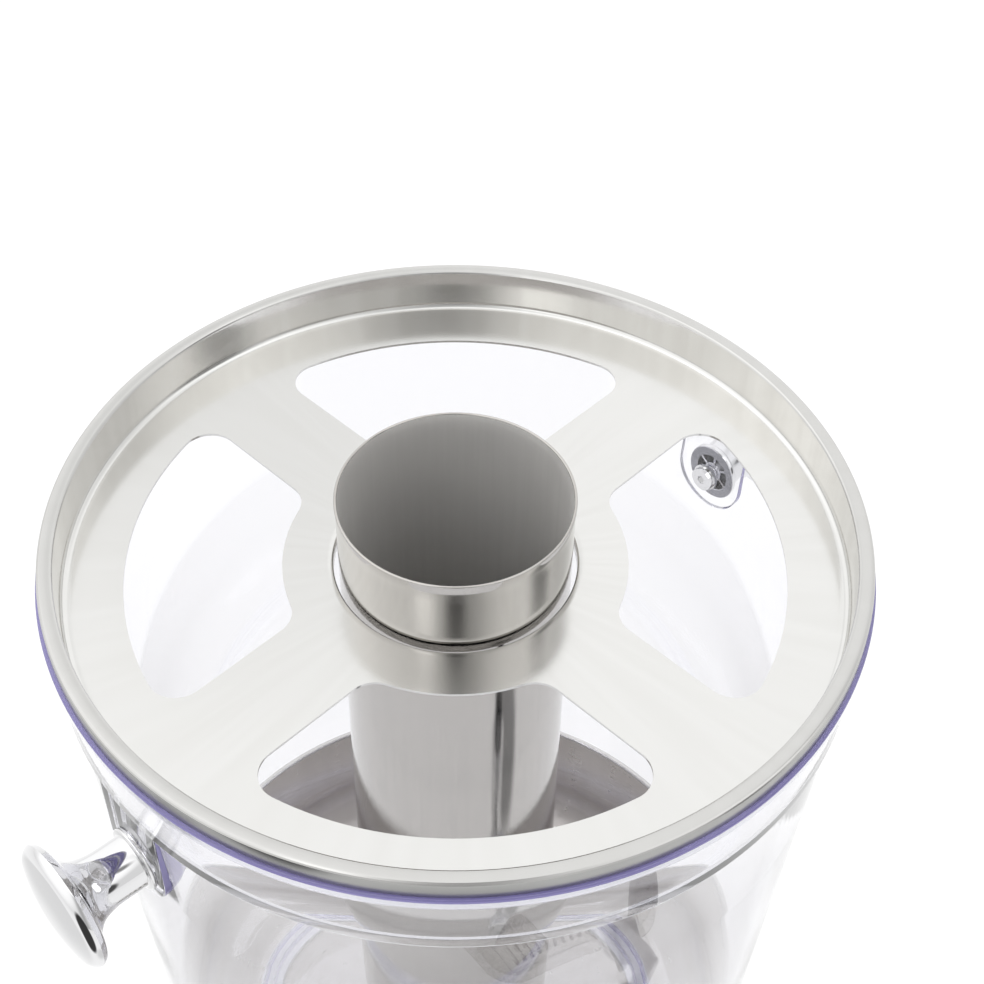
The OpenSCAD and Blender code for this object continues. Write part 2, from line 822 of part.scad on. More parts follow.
// Spout pressed into the chamber's floor, its upper end the valve seat
module tap_spout() {
    color(plated) at_tap() translate([0, 0, spout_z]) ring(spout_r, spout_bore_r, spout_l);
}

module tap_washer() {
    rotate([-90, 0, 0]) ring(tap_washer_r, shank_r + hole_gap, washer_t);
}

module tap_washer_outer() {
    color(silicone) translate([0, tank_y - tap_flange_face, tap_z]) tap_washer();
}

module tap_washer_inner() {
    color(silicone) translate([0, tank_y - tap_boss, tap_z]) tap_washer();
}

module tap_nut() {
    color(steel) translate([0, tank_y - tap_boss + washer_t, tap_z]) rotate([-90, 0, 0])
        hex_nut(tap_nut_r, shank_r + fit, tap_nut_t);
}

module tap_bonnet() {
    color(plated) at_tap() difference() {
        union() {
            translate([0, 0, bonnet_z]) cylinder(r = bonnet_r, h = bonnet_h);
            translate([0, 0, bonnet_z - plug_h]) cylinder(r = chamber_bore_r - fit, h = plug_h + eps);
        }
        translate([0, 0, bonnet_z - plug_h - eps])
            cylinder(r = stem_r + fit, h = plug_h + bonnet_h + 2 * eps);
    }
}

module bonnet_seal() {
    color(rubber) at_tap() translate([0, 0, chamber_top]) ring(chamber_r, chamber_bore_r + hole_gap, seal_t);
}

module tap_spring() {
    n = spring_turns * spring_rings;
    k = spring_sides;
    points = [for (i = [0:n]) each spring_ring(i)];
    sides = [for (i = [0:n - 1], j = [0:k - 1]) each [
        [i * k + j, i * k + (j + 1) % k, (i + 1) * k + j],
        [i * k + (j + 1) % k, (i + 1) * k + (j + 1) % k, (i + 1) * k + j]
    ]];
    first = [for (j = [1:k - 2]) [0, j + 1, j]];
    last = [for (j = [1:k - 2]) [n * k, n * k + j, n * k + j + 1]];
    color(steel) at_tap() polyhedron(points, [for (f = concat(sides, first, last)) reversed(f)]);
}

module tap_stem() {
    color(steel) at_tap() difference() {
        union() {
            translate([0, 0, seat_cup_floor - seat_drop])
                cylinder(r = stem_r, h = pin_z + seat_drop - seat_cup_floor);
            translate([0, 0, pin_z]) rod_x(eye_r, -eye_w / 2, eye_w / 2);
        }
        translate([0, 0, pin_z]) rod_x(pin_r + fit, -eye_w, eye_w);
    }
}

module tap_seat_cup() {
    color(silicone) at_tap() translate([0, 0, -seat_drop]) difference() {
        cylinder(r = seat_cup_r, h = seat_cup_h);
        translate([0, 0, seat_cup_floor]) cylinder(r = stem_r + fit, h = seat_cup_h);
    }
}

module tap_handle() {
    color(black) at_tap() translate([0, 0, pin_z]) difference() {
        union() {
            for (x = [-fork_w / 2, cheek_x])
                translate([x, 0, 0]) rotate([90, 0, 90]) linear_extrude(cheek_t) polygon(cheek_outline());
            translate([-fork_w / 2, -fork_d / 2, bridge_z]) cube([fork_w, fork_d, bridge_t]);
            rotate_extrude() polygon(concat(
                [
                    [0, bridge_top - eps],
                    [grip_root_r, bridge_top - eps],
                    [grip_neck_r, grip_neck_z]
                ],
                arc([0, lever_l - grip_r], grip_r, grip_start, 90, 12)
            ));
        }
        rod_x(pin_r + fit, -fork_w, fork_w);
    }
}

module tap_pin() {
    color(plated) at_tap() translate([0, 0, pin_z]) rod_x(pin_r, -pin_half, pin_half);
}

module lid() {
    color(steel) at_axis() translate([0, 0, lid_z]) rotate(lid_turn) difference() {
        rotate_extrude() polygon(lid_profile());
        for (turn = [0:90:270])
            rotate(turn) translate([0, 0, -lid_sheet - eps])
                linear_extrude(lid_sheet + 2 * eps) polygon(window_outline());
    }
}

module tube_shell() {
    flare_z = tube_top - tube_flare_h;
    color(steel) at_axis() rotate_extrude() polygon([
        [tube_in_r, tube_shell_z],
        [tube_r, tube_shell_z],
        [tube_r, flare_z],
        [tube_r + flare_mid, flare_mid_z],
        [tube_r + tube_flare, tube_top],
        [tube_in_r + tube_flare, tube_top],
        [tube_in_r + flare_mid, flare_mid_z],
        [tube_in_r, flare_z]
    ]);
}

module tube_base() {
    color(steel) at_axis() difference() {
        union() {
            translate([0, 0, tube_z]) cylinder(r = tube_r, h = tube_base_t);
            translate([0, 0, tube_z]) cylinder(r = tube_in_r - fit, h = stud_head_z - tube_z);
        }
        translate([0, 0, tube_z - eps]) cylinder(r = stud_r + fit, h = stud_head_z - tube_z + 2 * eps);
    }
}

module tube_stud() {
    color(steel) at_axis() translate([0, 0, stud_head_z])
        socket_screw(stud_r, stud_head_z - stud_end, stud_head_r, stud_head_h);
}

module tube_seal() {
    color(silicone) at_axis() translate([0, 0, socket_top])
        ring(socket_neck_r - 0.5, stud_r + hole_gap, tube_seal_t);
}

base_shell();
base_plate();
rubber_feet();
feet_screws();
column();
column_bolts();
column_nuts();
tank_cup();
cup_bolts();
cup_nuts();
cup_pad();
drip_tray();
drip_grille();
tank();
knob_left();
knob_right();
knob_screws();
knob_washers();
tube_socket();
socket_gasket();
socket_nut();
tap_body();
tap_spout();
tap_washer_outer();
tap_washer_inner();
tap_nut();
tap_bonnet();
bonnet_seal();
tap_spring();
tap_stem();
tap_seat_cup();
tap_handle();
tap_pin();
lid();
tube_shell();
tube_base();
tube_stud();
tube_seal();
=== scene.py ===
import math

import bmesh
import bpy
from mathutils import Matrix, Vector


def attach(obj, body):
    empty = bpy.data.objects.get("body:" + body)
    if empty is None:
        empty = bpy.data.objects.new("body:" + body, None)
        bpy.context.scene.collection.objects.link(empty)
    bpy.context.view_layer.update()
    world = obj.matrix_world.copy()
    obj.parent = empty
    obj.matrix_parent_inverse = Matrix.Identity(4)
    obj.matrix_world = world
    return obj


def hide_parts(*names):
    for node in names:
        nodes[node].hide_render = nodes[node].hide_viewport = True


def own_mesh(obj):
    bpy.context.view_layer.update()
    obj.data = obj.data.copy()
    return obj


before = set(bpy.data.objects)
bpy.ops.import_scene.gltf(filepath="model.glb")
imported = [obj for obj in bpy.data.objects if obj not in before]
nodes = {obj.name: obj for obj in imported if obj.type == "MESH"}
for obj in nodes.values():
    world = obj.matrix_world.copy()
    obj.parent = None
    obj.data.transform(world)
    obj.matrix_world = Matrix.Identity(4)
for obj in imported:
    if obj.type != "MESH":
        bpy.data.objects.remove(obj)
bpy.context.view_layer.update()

mm = 0.001
tiny = 0.01  # mm, too little to show
mergeWithin, flatWithin = 1e-6, 1e-5  # metres within which points are one, and heights the same
creaseAngle = 0.6  # an edge that turns more than this can be rounded
tankY = 60  # the tank's axis stands behind the middle of the base
tankAxis = Matrix.Translation((0, tankY * mm, 0))
alongX = Matrix.Rotation(math.radians(90), 4, "Y")
alongFront = Matrix.Rotation(math.radians(90), 4, "X")
setOnEdge = Matrix(((0, 0, 1, 0), (1, 0, 0, 0), (0, 1, 0, 0), (0, 0, 0, 1)))  # a flat outline, raised along X


def place(x, y, z):
    return Matrix.Translation((x * mm, y * mm, z * mm))


def turnZ(degrees):
    return Matrix.Rotation(math.radians(degrees), 4, "Z")


halfTurn = turnZ(180)


def fromAxis(at):
    return (at - tankAxis.translation).xy.length


def outward(at, normal):
    # above 0 where a face looks away from the tank's axis, below 0 where it looks in
    return normal.xy.dot((at - tankAxis.translation).xy)


def atHeight(edge, z):
    return all(abs(v.co.z - z * mm) < flatWithin for v in edge.verts)


def bevel(bm, geom, width, segments, affect="EDGES", clamp=False):
    bmesh.ops.bevel(bm, geom=geom, offset=width * mm, affect=affect, segments=segments, profile=0.5,
                    material=-1, clamp_overlap=clamp)


def drawCorners(bm, corners):
    # each corner is radius, height, and how much of its sides a rounding takes
    points = [bm.verts.new((c[0] * mm, 0, c[1] * mm)) for c in corners]
    for a, b in zip(points, points[1:] + points[:1]):
        bm.edges.new((a, b))
    for point, c in zip(points, corners):
        if len(c) > 2:
            bevel(bm, [point], c[2], 3 + int(c[2]), "VERTICES")


def cleanMesh(bm):
    bmesh.ops.remove_doubles(bm, verts=bm.verts[:], dist=mergeWithin)
    bmesh.ops.recalc_face_normals(bm, faces=bm.faces[:])


def spinRound(bm, steps):
    bmesh.ops.spin(bm, geom=bm.verts[:] + bm.edges[:], cent=(0, 0, 0), axis=(0, 0, 1),
                   angle=math.tau, steps=steps, use_merge=True)
    cleanMesh(bm)


def makeObject(name, bm, where):
    bmesh.ops.transform(bm, matrix=where, verts=bm.verts[:])
    mesh = bpy.data.meshes.new(name)
    bm.to_mesh(mesh)
    bm.free()
    made = bpy.data.objects.new(name, mesh)
    bpy.context.scene.collection.objects.link(made)
    return made


def turned(name, corners, steps=160, where=tankAxis):
    bm = bmesh.new()
    drawCorners(bm, corners)
    spinRound(bm, steps)
    return makeObject(name, bm, where)


def rod(name, radius, start, end, where, segments=64):
    bm = bmesh.new()
    bmesh.ops.create_cone(bm, cap_ends=True, segments=segments, radius1=radius * mm, radius2=radius * mm,
                          depth=(end - start) * mm)
    return makeObject(name, bm, where @ place(0, 0, (start + end) / 2))


def box(name, low, high, edge=0, where=Matrix()):
    bm = bmesh.new()
    bmesh.ops.create_cube(bm, size=1)
    size = [b - a for a, b in zip(low, high)]
    bmesh.ops.scale(bm, vec=[s * mm for s in size], verts=bm.verts[:])
    if edge:
        bevel(bm, bm.edges[:], edge, 3)
    return makeObject(name, bm, where @ place(*[(a + b) / 2 for a, b in zip(low, high)]))


class Pen:
    # draws an outline in the XY plane with straight strokes and arcs
    def __init__(self, x, y):
        self.bm = bmesh.new()
        self.tip = self.bm.verts.new((x * mm, y * mm, 0))

    def stroke(self, dx, dy):
        grown = bmesh.ops.extrude_vert_indiv(self.bm, verts=[self.tip])
        self.tip = grown["verts"][0]
        self.tip.co += Vector((dx * mm, dy * mm, 0))
        return self

    def strokeTo(self, x, y):
        return self.stroke(x - self.tip.co.x / mm, y - self.tip.co.y / mm)

    def arc(self, x, y, angle, steps):
        swept = bmesh.ops.spin(self.bm, geom=[self.tip], cent=(x * mm, y * mm, 0), axis=(0, 0, 1),
                               angle=math.radians(angle), steps=steps)
        self.tip = [v for v in swept["geom_last"] if isinstance(v, bmesh.types.BMVert)][0]
        return self

    def mirrored(self):
        copy = bmesh.ops.duplicate(self.bm, geom=self.bm.verts[:] + self.bm.edges[:])
        verts = [v for v in copy["geom"] if isinstance(v, bmesh.types.BMVert)]
        bmesh.ops.scale(self.bm, vec=(-1, 1, 1), verts=verts)
        return self

    def raised(self, height, edge=0):
        # closes the outline and makes a plate of it, its upper edge rounded
        bm = self.bm
        bmesh.ops.remove_doubles(bm, verts=bm.verts[:], dist=mergeWithin)
        bmesh.ops.contextual_create(bm, geom=bm.edges[:])
        lifted = bmesh.ops.extrude_face_region(bm, geom=bm.faces[:])
        tops = [v for v in lifted["geom"] if isinstance(v, bmesh.types.BMVert)]
        bmesh.ops.translate(bm, vec=(0, 0, height * mm), verts=tops)
        cleanMesh(bm)
        if edge:
            rim = [e for e in bm.edges if all(v.co.z > (height - tiny) * mm for v in e.verts)]
            bevel(bm, rim, edge, 4)
        return bm


def roundedPlate(width, depth, corner, height, edge=0):
    x, y = width / 2 - corner, depth / 2 - corner
    pen = Pen(x + corner, y).arc(x, y, 90, 10).strokeTo(-x, y + corner).arc(-x, y, 90, 10)
    pen.strokeTo(-x - corner, -y).arc(-x, -y, 90, 10).strokeTo(x, -y - corner).arc(x, -y, 90, 10)
    return pen.strokeTo(x + corner, y).raised(height, edge)


def combine(made, operation, *tools):
    for tool in tools:
        step = made.modifiers.new("combine", "BOOLEAN")
        step.operation = operation
        step.solver = "EXACT"
        step.object = tool
        graph = bpy.context.evaluated_depsgraph_get()
        mesh = bpy.data.meshes.new_from_object(made.evaluated_get(graph))
        made.modifiers.clear()
        made.data = mesh
        bpy.data.objects.remove(tool)


def roundEdges(made, width, chosen, segments=2):
    bm = bmesh.new()
    bm.from_mesh(made.data)
    shared = [e for e in bm.edges if len(e.link_faces) == 2]
    creases = [e for e in shared if e.calc_face_angle() > creaseAngle and chosen(e)]
    bevel(bm, creases, width, segments, clamp=True)
    bm.to_mesh(made.data)
    bm.free()


def paint(made, finishName, chosen):
    # gives the faces that chosen picks, by centre and normal, a finish of their own
    made.data.materials.append(finishes[finishName])
    for face in made.data.polygons:
        if chosen(face.center, face.normal):
            face.material_index = len(made.data.materials) - 1


def finish(made, body, slotName, finishName, *stands, sharp=34):
    made.data.materials.clear()
    made.data.materials.append(finishes[finishName])
    made.data.polygons.foreach_set("material_index", [0] * len(made.data.polygons))
    made.data.shade_smooth()
    made.data.set_sharp_from_angle(angle=math.radians(sharp))
    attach(made, body)
    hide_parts(*stands)


# Finishes

def addNode(tree, kind, x, y, **values):
    made = tree.nodes.new(kind)
    made.location = (x, y)
    for key, value in values.items():
        setattr(made, key, value)
    return made


def newGroup(name, inputs, outputs):
    group = bpy.data.node_groups.new(name, "ShaderNodeTree")
    for label, kind, value in inputs:
        socket = group.interface.new_socket(label, in_out="INPUT", socket_type=kind)
        socket.default_value = value
    for label, kind in outputs:
        group.interface.new_socket(label, in_out="OUTPUT", socket_type=kind)
    return group, addNode(group, "NodeGroupInput", -1200, 0), addNode(group, "NodeGroupOutput", 600, 0)


def makePolishLines():
    # fine lines left by the polishing wheel, stretched along one direction by the Stretch input
    group, start, end = newGroup(
        "polishLines",
        [("Vector", "NodeSocketVector", (0, 0, 0)), ("Stretch", "NodeSocketVector", (900, 900, 12)),
         ("Roughness", "NodeSocketFloat", 0.2), ("Spread", "NodeSocketFloat", 0.08)],
        [("Roughness", "NodeSocketFloat"), ("Height", "NodeSocketFloat"), ("Shade", "NodeSocketFloat")])
    link = group.links.new
    scaled = addNode(group, "ShaderNodeVectorMath", -950, 0, operation="MULTIPLY")
    link(start.outputs["Vector"], scaled.inputs[0])
    link(start.outputs["Stretch"], scaled.inputs[1])
    fine = addNode(group, "ShaderNodeTexNoise", -720, 120)
    fine.inputs["Scale"].default_value = 1
    fine.inputs["Detail"].default_value = 3
    link(scaled.outputs[0], fine.inputs["Vector"])
    broad = addNode(group, "ShaderNodeTexNoise", -720, -160)
    broad.inputs["Scale"].default_value = 18
    broad.inputs["Detail"].default_value = 2
    link(start.outputs["Vector"], broad.inputs["Vector"])
    both = addNode(group, "ShaderNodeMath", -480, 0, operation="ADD")
    link(fine.outputs["Fac"], both.inputs[0])
    link(broad.outputs["Fac"], both.inputs[1])
    around = addNode(group, "ShaderNodeMath", -300, 0, operation="SUBTRACT")
    around.inputs[1].default_value = 1
    link(both.outputs[0], around.inputs[0])
    spread = addNode(group, "ShaderNodeMath", -120, 0, operation="MULTIPLY")
    link(around.outputs[0], spread.inputs[0])
    link(start.outputs["Spread"], spread.inputs[1])
    total = addNode(group, "ShaderNodeMath", 60, 0, operation="ADD", use_clamp=True)
    link(spread.outputs[0], total.inputs[0])
    link(start.outputs["Roughness"], total.inputs[1])
    link(total.outputs[0], end.inputs["Roughness"])
    link(fine.outputs["Fac"], end.inputs["Height"])
    link(broad.outputs["Fac"], end.inputs["Shade"])
    return group


def makeHandling():
    # faint smears and tiny scratches from being wiped and carried
    group, start, end = newGroup(
        "handling",
        [("Vector", "NodeSocketVector", (0, 0, 0)), ("Smears", "NodeSocketFloat", 0.05)],
        [("Roughness", "NodeSocketFloat"), ("Mask", "NodeSocketFloat")])
    link = group.links.new
    smear = addNode(group, "ShaderNodeTexNoise", -700, 120)
    smear.inputs["Scale"].default_value = 26
    smear.inputs["Detail"].default_value = 4
    smear.inputs["Distortion"].default_value = 1.2
    link(start.outputs["Vector"], smear.inputs["Vector"])
    patch = addNode(group, "ShaderNodeMapRange", -480, 120, interpolation_type="SMOOTHSTEP")
    patch.inputs["From Min"].default_value = 0.5
    patch.inputs["From Max"].default_value = 0.72
    link(smear.outputs["Fac"], patch.inputs["Value"])
    scratch = addNode(group, "ShaderNodeTexVoronoi", -700, -180, feature="DISTANCE_TO_EDGE")
    scratch.inputs["Scale"].default_value = 55
    link(start.outputs["Vector"], scratch.inputs["Vector"])
    thin = addNode(group, "ShaderNodeMapRange", -480, -180)
    thin.inputs["From Max"].default_value = 0.006
    thin.inputs["To Min"].default_value = 0.35
    thin.inputs["To Max"].default_value = 0
    link(scratch.outputs["Distance"], thin.inputs["Value"])
    most = addNode(group, "ShaderNodeMath", -240, 0, operation="ADD", use_clamp=True)
    link(patch.outputs[0], most.inputs[0])
    link(thin.outputs[0], most.inputs[1])
    rough = addNode(group, "ShaderNodeMath", 0, 0, operation="MULTIPLY")
    link(most.outputs[0], rough.inputs[0])
    link(start.outputs["Smears"], rough.inputs[1])
    link(rough.outputs[0], end.inputs["Roughness"])
    link(most.outputs[0], end.inputs["Mask"])
    return group


polishLines = makePolishLines()
handling = makeHandling()
finishes = {}


def newFinish(name):
    finishes[name] = made = bpy.data.materials.new(name)
    made.use_nodes = True
    tree = made.node_tree
    return tree, tree.nodes["Principled BSDF"], addNode(tree, "ShaderNodeTexCoord", -1500, 0)


def roundCoords(tree, coords, centre):
    # radius, angle and height about an upright axis, so that lines run round a turned piece
    link = tree.links.new
    moved = addNode(tree, "ShaderNodeMapping", -1320, 0, vector_type="TEXTURE")
    moved.inputs["Location"].default_value = centre
    link(coords.outputs["Object"], moved.inputs["Vector"])
    split = addNode(tree, "ShaderNodeSeparateXYZ", -1140, 0)
    link(moved.outputs[0], split.inputs[0])
    angle = addNode(tree, "ShaderNodeMath", -980, 120, operation="ARCTAN2")
    link(split.outputs["Y"], angle.inputs[0])
    link(split.outputs["X"], angle.inputs[1])
    flat = addNode(tree, "ShaderNodeVectorMath", -1140, 200, operation="MULTIPLY")
    flat.inputs[1].default_value = (1, 1, 0)
    link(moved.outputs[0], flat.inputs[0])
    radius = addNode(tree, "ShaderNodeVectorMath", -980, 260, operation="LENGTH")
    link(flat.outputs[0], radius.inputs[0])
    joined = addNode(tree, "ShaderNodeCombineXYZ", -820, 60)
    link(radius.outputs["Value"], joined.inputs["X"])
    link(angle.outputs[0], joined.inputs["Y"])
    link(split.outputs["Z"], joined.inputs["Z"])
    return joined.outputs[0]


def makeSteel(name, colour, tint, rough, spread, stretch, bump, smears, centre=None, metallic=1):
    tree, shader, coords = newFinish(name)
    link = tree.links.new
    vector = roundCoords(tree, coords, centre) if centre else coords.outputs["Object"]
    lines = addNode(tree, "ShaderNodeGroup", -600, 0, node_tree=polishLines)
    lines.inputs["Stretch"].default_value = stretch
    lines.inputs["Roughness"].default_value = rough
    lines.inputs["Spread"].default_value = spread
    link(vector, lines.inputs["Vector"])
    touched = addNode(tree, "ShaderNodeGroup", -600, -260, node_tree=handling)
    touched.inputs["Smears"].default_value = smears
    link(coords.outputs["Object"], touched.inputs["Vector"])
    total = addNode(tree, "ShaderNodeMath", -360, -80, operation="ADD", use_clamp=True)
    link(lines.outputs["Roughness"], total.inputs[0])
    link(touched.outputs["Roughness"], total.inputs[1])
    link(total.outputs[0], shader.inputs["Roughness"])
    shade = addNode(tree, "ShaderNodeMix", -360, 220, data_type="RGBA")
    shade.inputs["A"].default_value = (*colour, 1)
    shade.inputs["B"].default_value = (*tint, 1)
    link(lines.outputs["Shade"], shade.inputs["Factor"])
    link(shade.outputs["Result"], shader.inputs["Base Color"])
    raised = addNode(tree, "ShaderNodeBump", -360, -320)
    raised.inputs["Strength"].default_value = bump
    raised.inputs["Distance"].default_value = 0.0002
    link(lines.outputs["Height"], raised.inputs["Height"])
    link(raised.outputs[0], shader.inputs["Normal"])
    shader.inputs["Metallic"].default_value = metallic


axisPoint = (0, tankY * mm, 0)
pressed, drawn, spun = (500, 6, 500), (60, 900, 6), (900, 4, 900)  # how the polish lines are stretched
steels = {
    "lidSteel": {"colour": (0.705, 0.703, 0.69), "tint": (0.66, 0.656, 0.638), "rough": 0.165, "spread": 0.03,
                 "stretch": pressed, "bump": 0.02, "smears": 0.02, "centre": axisPoint},
    # painted shade: a darker copy of the lid's steel for the lip's top
    "lidLipPaintedShade": {"colour": (0.585, 0.582, 0.57), "tint": (0.545, 0.54, 0.525), "rough": 0.19, "spread": 0.03,
               "stretch": pressed, "bump": 0.02, "smears": 0.02, "centre": axisPoint},
    # painted light and reflections: a brighter copy of the lid's steel for its inner wall, whose wide spread
    # from colour to tint paints blotchy reflections round it
    "lidWallPaintedLight": {"colour": (0.78, 0.77, 0.745), "tint": (0.66, 0.645, 0.615), "rough": 0.16, "spread": 0.04,
                "stretch": pressed, "bump": 0.02, "smears": 0.02, "centre": axisPoint},
    # painted light: a paler, less metallic copy of the lid's steel for the pan's outer wall, which sits in
    # the lip's shadow
    "lidOuterPaintedLight": {"colour": (0.90, 0.90, 0.925), "tint": (0.84, 0.84, 0.865), "rough": 0.35, "spread": 0.05,
                 "stretch": pressed, "bump": 0.02, "smears": 0.02, "centre": axisPoint, "metallic": 0.85},
    # painted shade: a dark, rougher copy of the lid's steel for the grey band on the lip's outer face
    "lipFacePaintedShade": {"colour": (0.42, 0.42, 0.41), "tint": (0.38, 0.38, 0.37), "rough": 0.30, "spread": 0.04,
                 "stretch": pressed, "bump": 0.02, "smears": 0.02, "centre": axisPoint},
    "tubeSteel": {"colour": (0.53, 0.515, 0.49), "tint": (0.49, 0.475, 0.455), "rough": 0.06, "spread": 0.03,
                  "stretch": drawn, "bump": 0.015, "smears": 0.02, "centre": axisPoint},
    # painted light: a lighter, partly diffuse copy of the tube's steel for its inside, so the empty tube
    # reads lit
    "tubeInsidePaintedLight": {"colour": (0.80, 0.79, 0.775), "tint": (0.74, 0.73, 0.715), "rough": 0.42, "spread": 0.08,
                   "stretch": drawn, "bump": 0.03, "smears": 0.03, "centre": axisPoint, "metallic": 0.75},
    # painted shade and light: a browner copy of the cup's steel for its shadowed inside, partly diffuse so it
    # lifts
    "cupInsideLitAndShaded": {"colour": (0.70, 0.665, 0.61), "tint": (0.61, 0.58, 0.53), "rough": 0.30, "spread": 0.10,
                 "stretch": spun, "bump": 0.10, "smears": 0.04, "centre": axisPoint, "metallic": 0.88},
    "cupOuter": {"colour": (0.64, 0.635, 0.62), "tint": (0.58, 0.575, 0.56), "rough": 0.25, "spread": 0.09,
                 "stretch": spun, "bump": 0.08, "smears": 0.04, "centre": axisPoint},
    "columnSteel": {"colour": (0.66, 0.655, 0.645), "tint": (0.60, 0.595, 0.585), "rough": 0.14,
                    "spread": 0.07, "stretch": (700, 3, 900), "bump": 0.05, "smears": 0.06,
                    "centre": axisPoint},
    "baseSteel": {"colour": (0.62, 0.615, 0.60), "tint": (0.56, 0.55, 0.535), "rough": 0.27, "spread": 0.10,
                  "stretch": (12, 900, 900), "bump": 0.10, "smears": 0.05},
    "traySteel": {"colour": (0.64, 0.635, 0.62), "tint": (0.57, 0.565, 0.55), "rough": 0.22, "spread": 0.09,
                  "stretch": (12, 800, 800), "bump": 0.08, "smears": 0.06},
    "knobPlate": {"colour": (0.80, 0.80, 0.80), "tint": (0.75, 0.75, 0.76), "rough": 0.03, "spread": 0.02,
                  "stretch": (60, 60, 60), "bump": 0, "smears": 0.03},
    "tapPlate": {"colour": (0.74, 0.74, 0.74), "tint": (0.68, 0.68, 0.685), "rough": 0.06, "spread": 0.04,
                 "stretch": (90, 90, 90), "bump": 0.01, "smears": 0.05},
    "screwSteel": {"colour": (0.62, 0.62, 0.615), "tint": (0.52, 0.52, 0.51), "rough": 0.24, "spread": 0.10,
                   "stretch": (300, 300, 300), "bump": 0.06, "smears": 0.05},
}
for name, look in steels.items():
    makeSteel(name, **look)


def makeClear(name, colour, shadow, through):
    tree, shader, coords = newFinish(name)
    link = tree.links.new
    shader.inputs["Base Color"].default_value = (*colour, 1)
    shader.inputs["Transmission Weight"].default_value = through
    shader.inputs["IOR"].default_value = 1.52
    touched = addNode(tree, "ShaderNodeGroup", -600, -100, node_tree=handling)
    touched.inputs["Smears"].default_value = 0.02
    link(coords.outputs["Object"], touched.inputs["Vector"])
    link(touched.outputs["Roughness"], shader.inputs["Roughness"])
    flow = addNode(tree, "ShaderNodeTexNoise", -600, -360)
    flow.inputs["Scale"].default_value = 14
    flow.inputs["Detail"].default_value = 1
    link(coords.outputs["Object"], flow.inputs["Vector"])
    wave = addNode(tree, "ShaderNodeBump", -360, -320)
    wave.inputs["Strength"].default_value = 0.04
    wave.inputs["Distance"].default_value = 0.002
    link(flow.outputs["Fac"], wave.inputs["Height"])
    link(wave.outputs[0], shader.inputs["Normal"])
    # light passes to what stands inside, and a ray that has bounced long ends in a pale glow
    rays = addNode(tree, "ShaderNodeLightPath", 0, 400)
    deep = addNode(tree, "ShaderNodeMath", 200, 200, operation="GREATER_THAN")
    deep.inputs[1].default_value = 6  # bounces
    link(rays.outputs["Ray Depth"], deep.inputs[0])
    pale = addNode(tree, "ShaderNodeEmission", 200, 0)
    pale.inputs["Color"].default_value = (*shadow, 1)
    pale.inputs["Strength"].default_value = 0.8
    ended = addNode(tree, "ShaderNodeMixShader", 420, 100)
    link(deep.outputs[0], ended.inputs[0])
    link(shader.outputs[0], ended.inputs[1])
    link(pale.outputs[0], ended.inputs[2])
    soft = addNode(tree, "ShaderNodeMath", 200, 400, operation="MAXIMUM")
    link(rays.outputs["Is Shadow Ray"], soft.inputs[0])
    link(rays.outputs["Is Diffuse Ray"], soft.inputs[1])
    clear = addNode(tree, "ShaderNodeBsdfTransparent", 420, 300)
    clear.inputs["Color"].default_value = (*shadow, 1)
    mix = addNode(tree, "ShaderNodeMixShader", 640, 200)
    link(soft.outputs[0], mix.inputs[0])
    link(ended.outputs[0], mix.inputs[1])
    link(clear.outputs[0], mix.inputs[2])
    out = tree.nodes["Material Output"]
    out.location = (860, 200)
    link(mix.outputs[0], out.inputs["Surface"])


makeClear("clearTank", colour=(0.925, 0.925, 0.95), shadow=(0.935, 0.936, 0.965), through=1)
makeClear("tankEdge", colour=(0.165, 0.147, 0.325), shadow=(0.80, 0.78, 0.90), through=0.2)
makeClear("tankRing", colour=(0.52, 0.49, 0.70), shadow=(0.85, 0.84, 0.92), through=0.6)
# painted highlight: a pale, partly diffuse copy of the clear plastic, so faces it covers read as light lines
makeClear("tankRimPaintedHighlight", colour=(0.95, 0.95, 0.985), shadow=(0.92, 0.92, 0.96), through=0.3)


def makeMoulded(name, colour, tint, rough, grain, bump, soft=0):
    tree, shader, coords = newFinish(name)
    link = tree.links.new
    speck = addNode(tree, "ShaderNodeTexNoise", -700, 0)
    speck.inputs["Scale"].default_value = grain
    speck.inputs["Detail"].default_value = 3
    link(coords.outputs["Object"], speck.inputs["Vector"])
    shade = addNode(tree, "ShaderNodeMix", -360, 200, data_type="RGBA")
    shade.inputs["A"].default_value = (*colour, 1)
    shade.inputs["B"].default_value = (*tint, 1)
    link(speck.outputs["Fac"], shade.inputs["Factor"])
    link(shade.outputs["Result"], shader.inputs["Base Color"])
    touched = addNode(tree, "ShaderNodeGroup", -700, -260, node_tree=handling)
    touched.inputs["Smears"].default_value = 0.12
    link(coords.outputs["Object"], touched.inputs["Vector"])
    total = addNode(tree, "ShaderNodeMath", -360, -80, operation="ADD", use_clamp=True)
    total.inputs[1].default_value = rough
    link(touched.outputs["Roughness"], total.inputs[0])
    link(total.outputs[0], shader.inputs["Roughness"])
    raised = addNode(tree, "ShaderNodeBump", -360, -320)
    raised.inputs["Strength"].default_value = bump
    raised.inputs["Distance"].default_value = 0.0004
    link(speck.outputs["Fac"], raised.inputs["Height"])
    link(raised.outputs[0], shader.inputs["Normal"])
    shader.inputs["Subsurface Weight"].default_value = soft
    shader.inputs["Subsurface Radius"].default_value = (0.002, 0.002, 0.002)


makeMoulded("leverPlastic", colour=(0.012, 0.012, 0.013), tint=(0.02, 0.02, 0.021), rough=0.22, grain=900,
            bump=0.03)
makeMoulded("footRubber", colour=(0.02, 0.02, 0.021), tint=(0.035, 0.035, 0.035), rough=0.55, grain=500,
            bump=0.15)
makeMoulded("sealSilicone", colour=(0.74, 0.74, 0.72), tint=(0.80, 0.80, 0.785), rough=0.40, grain=300,
            bump=0.05, soft=0.3)
print("finishes:", len(finishes))


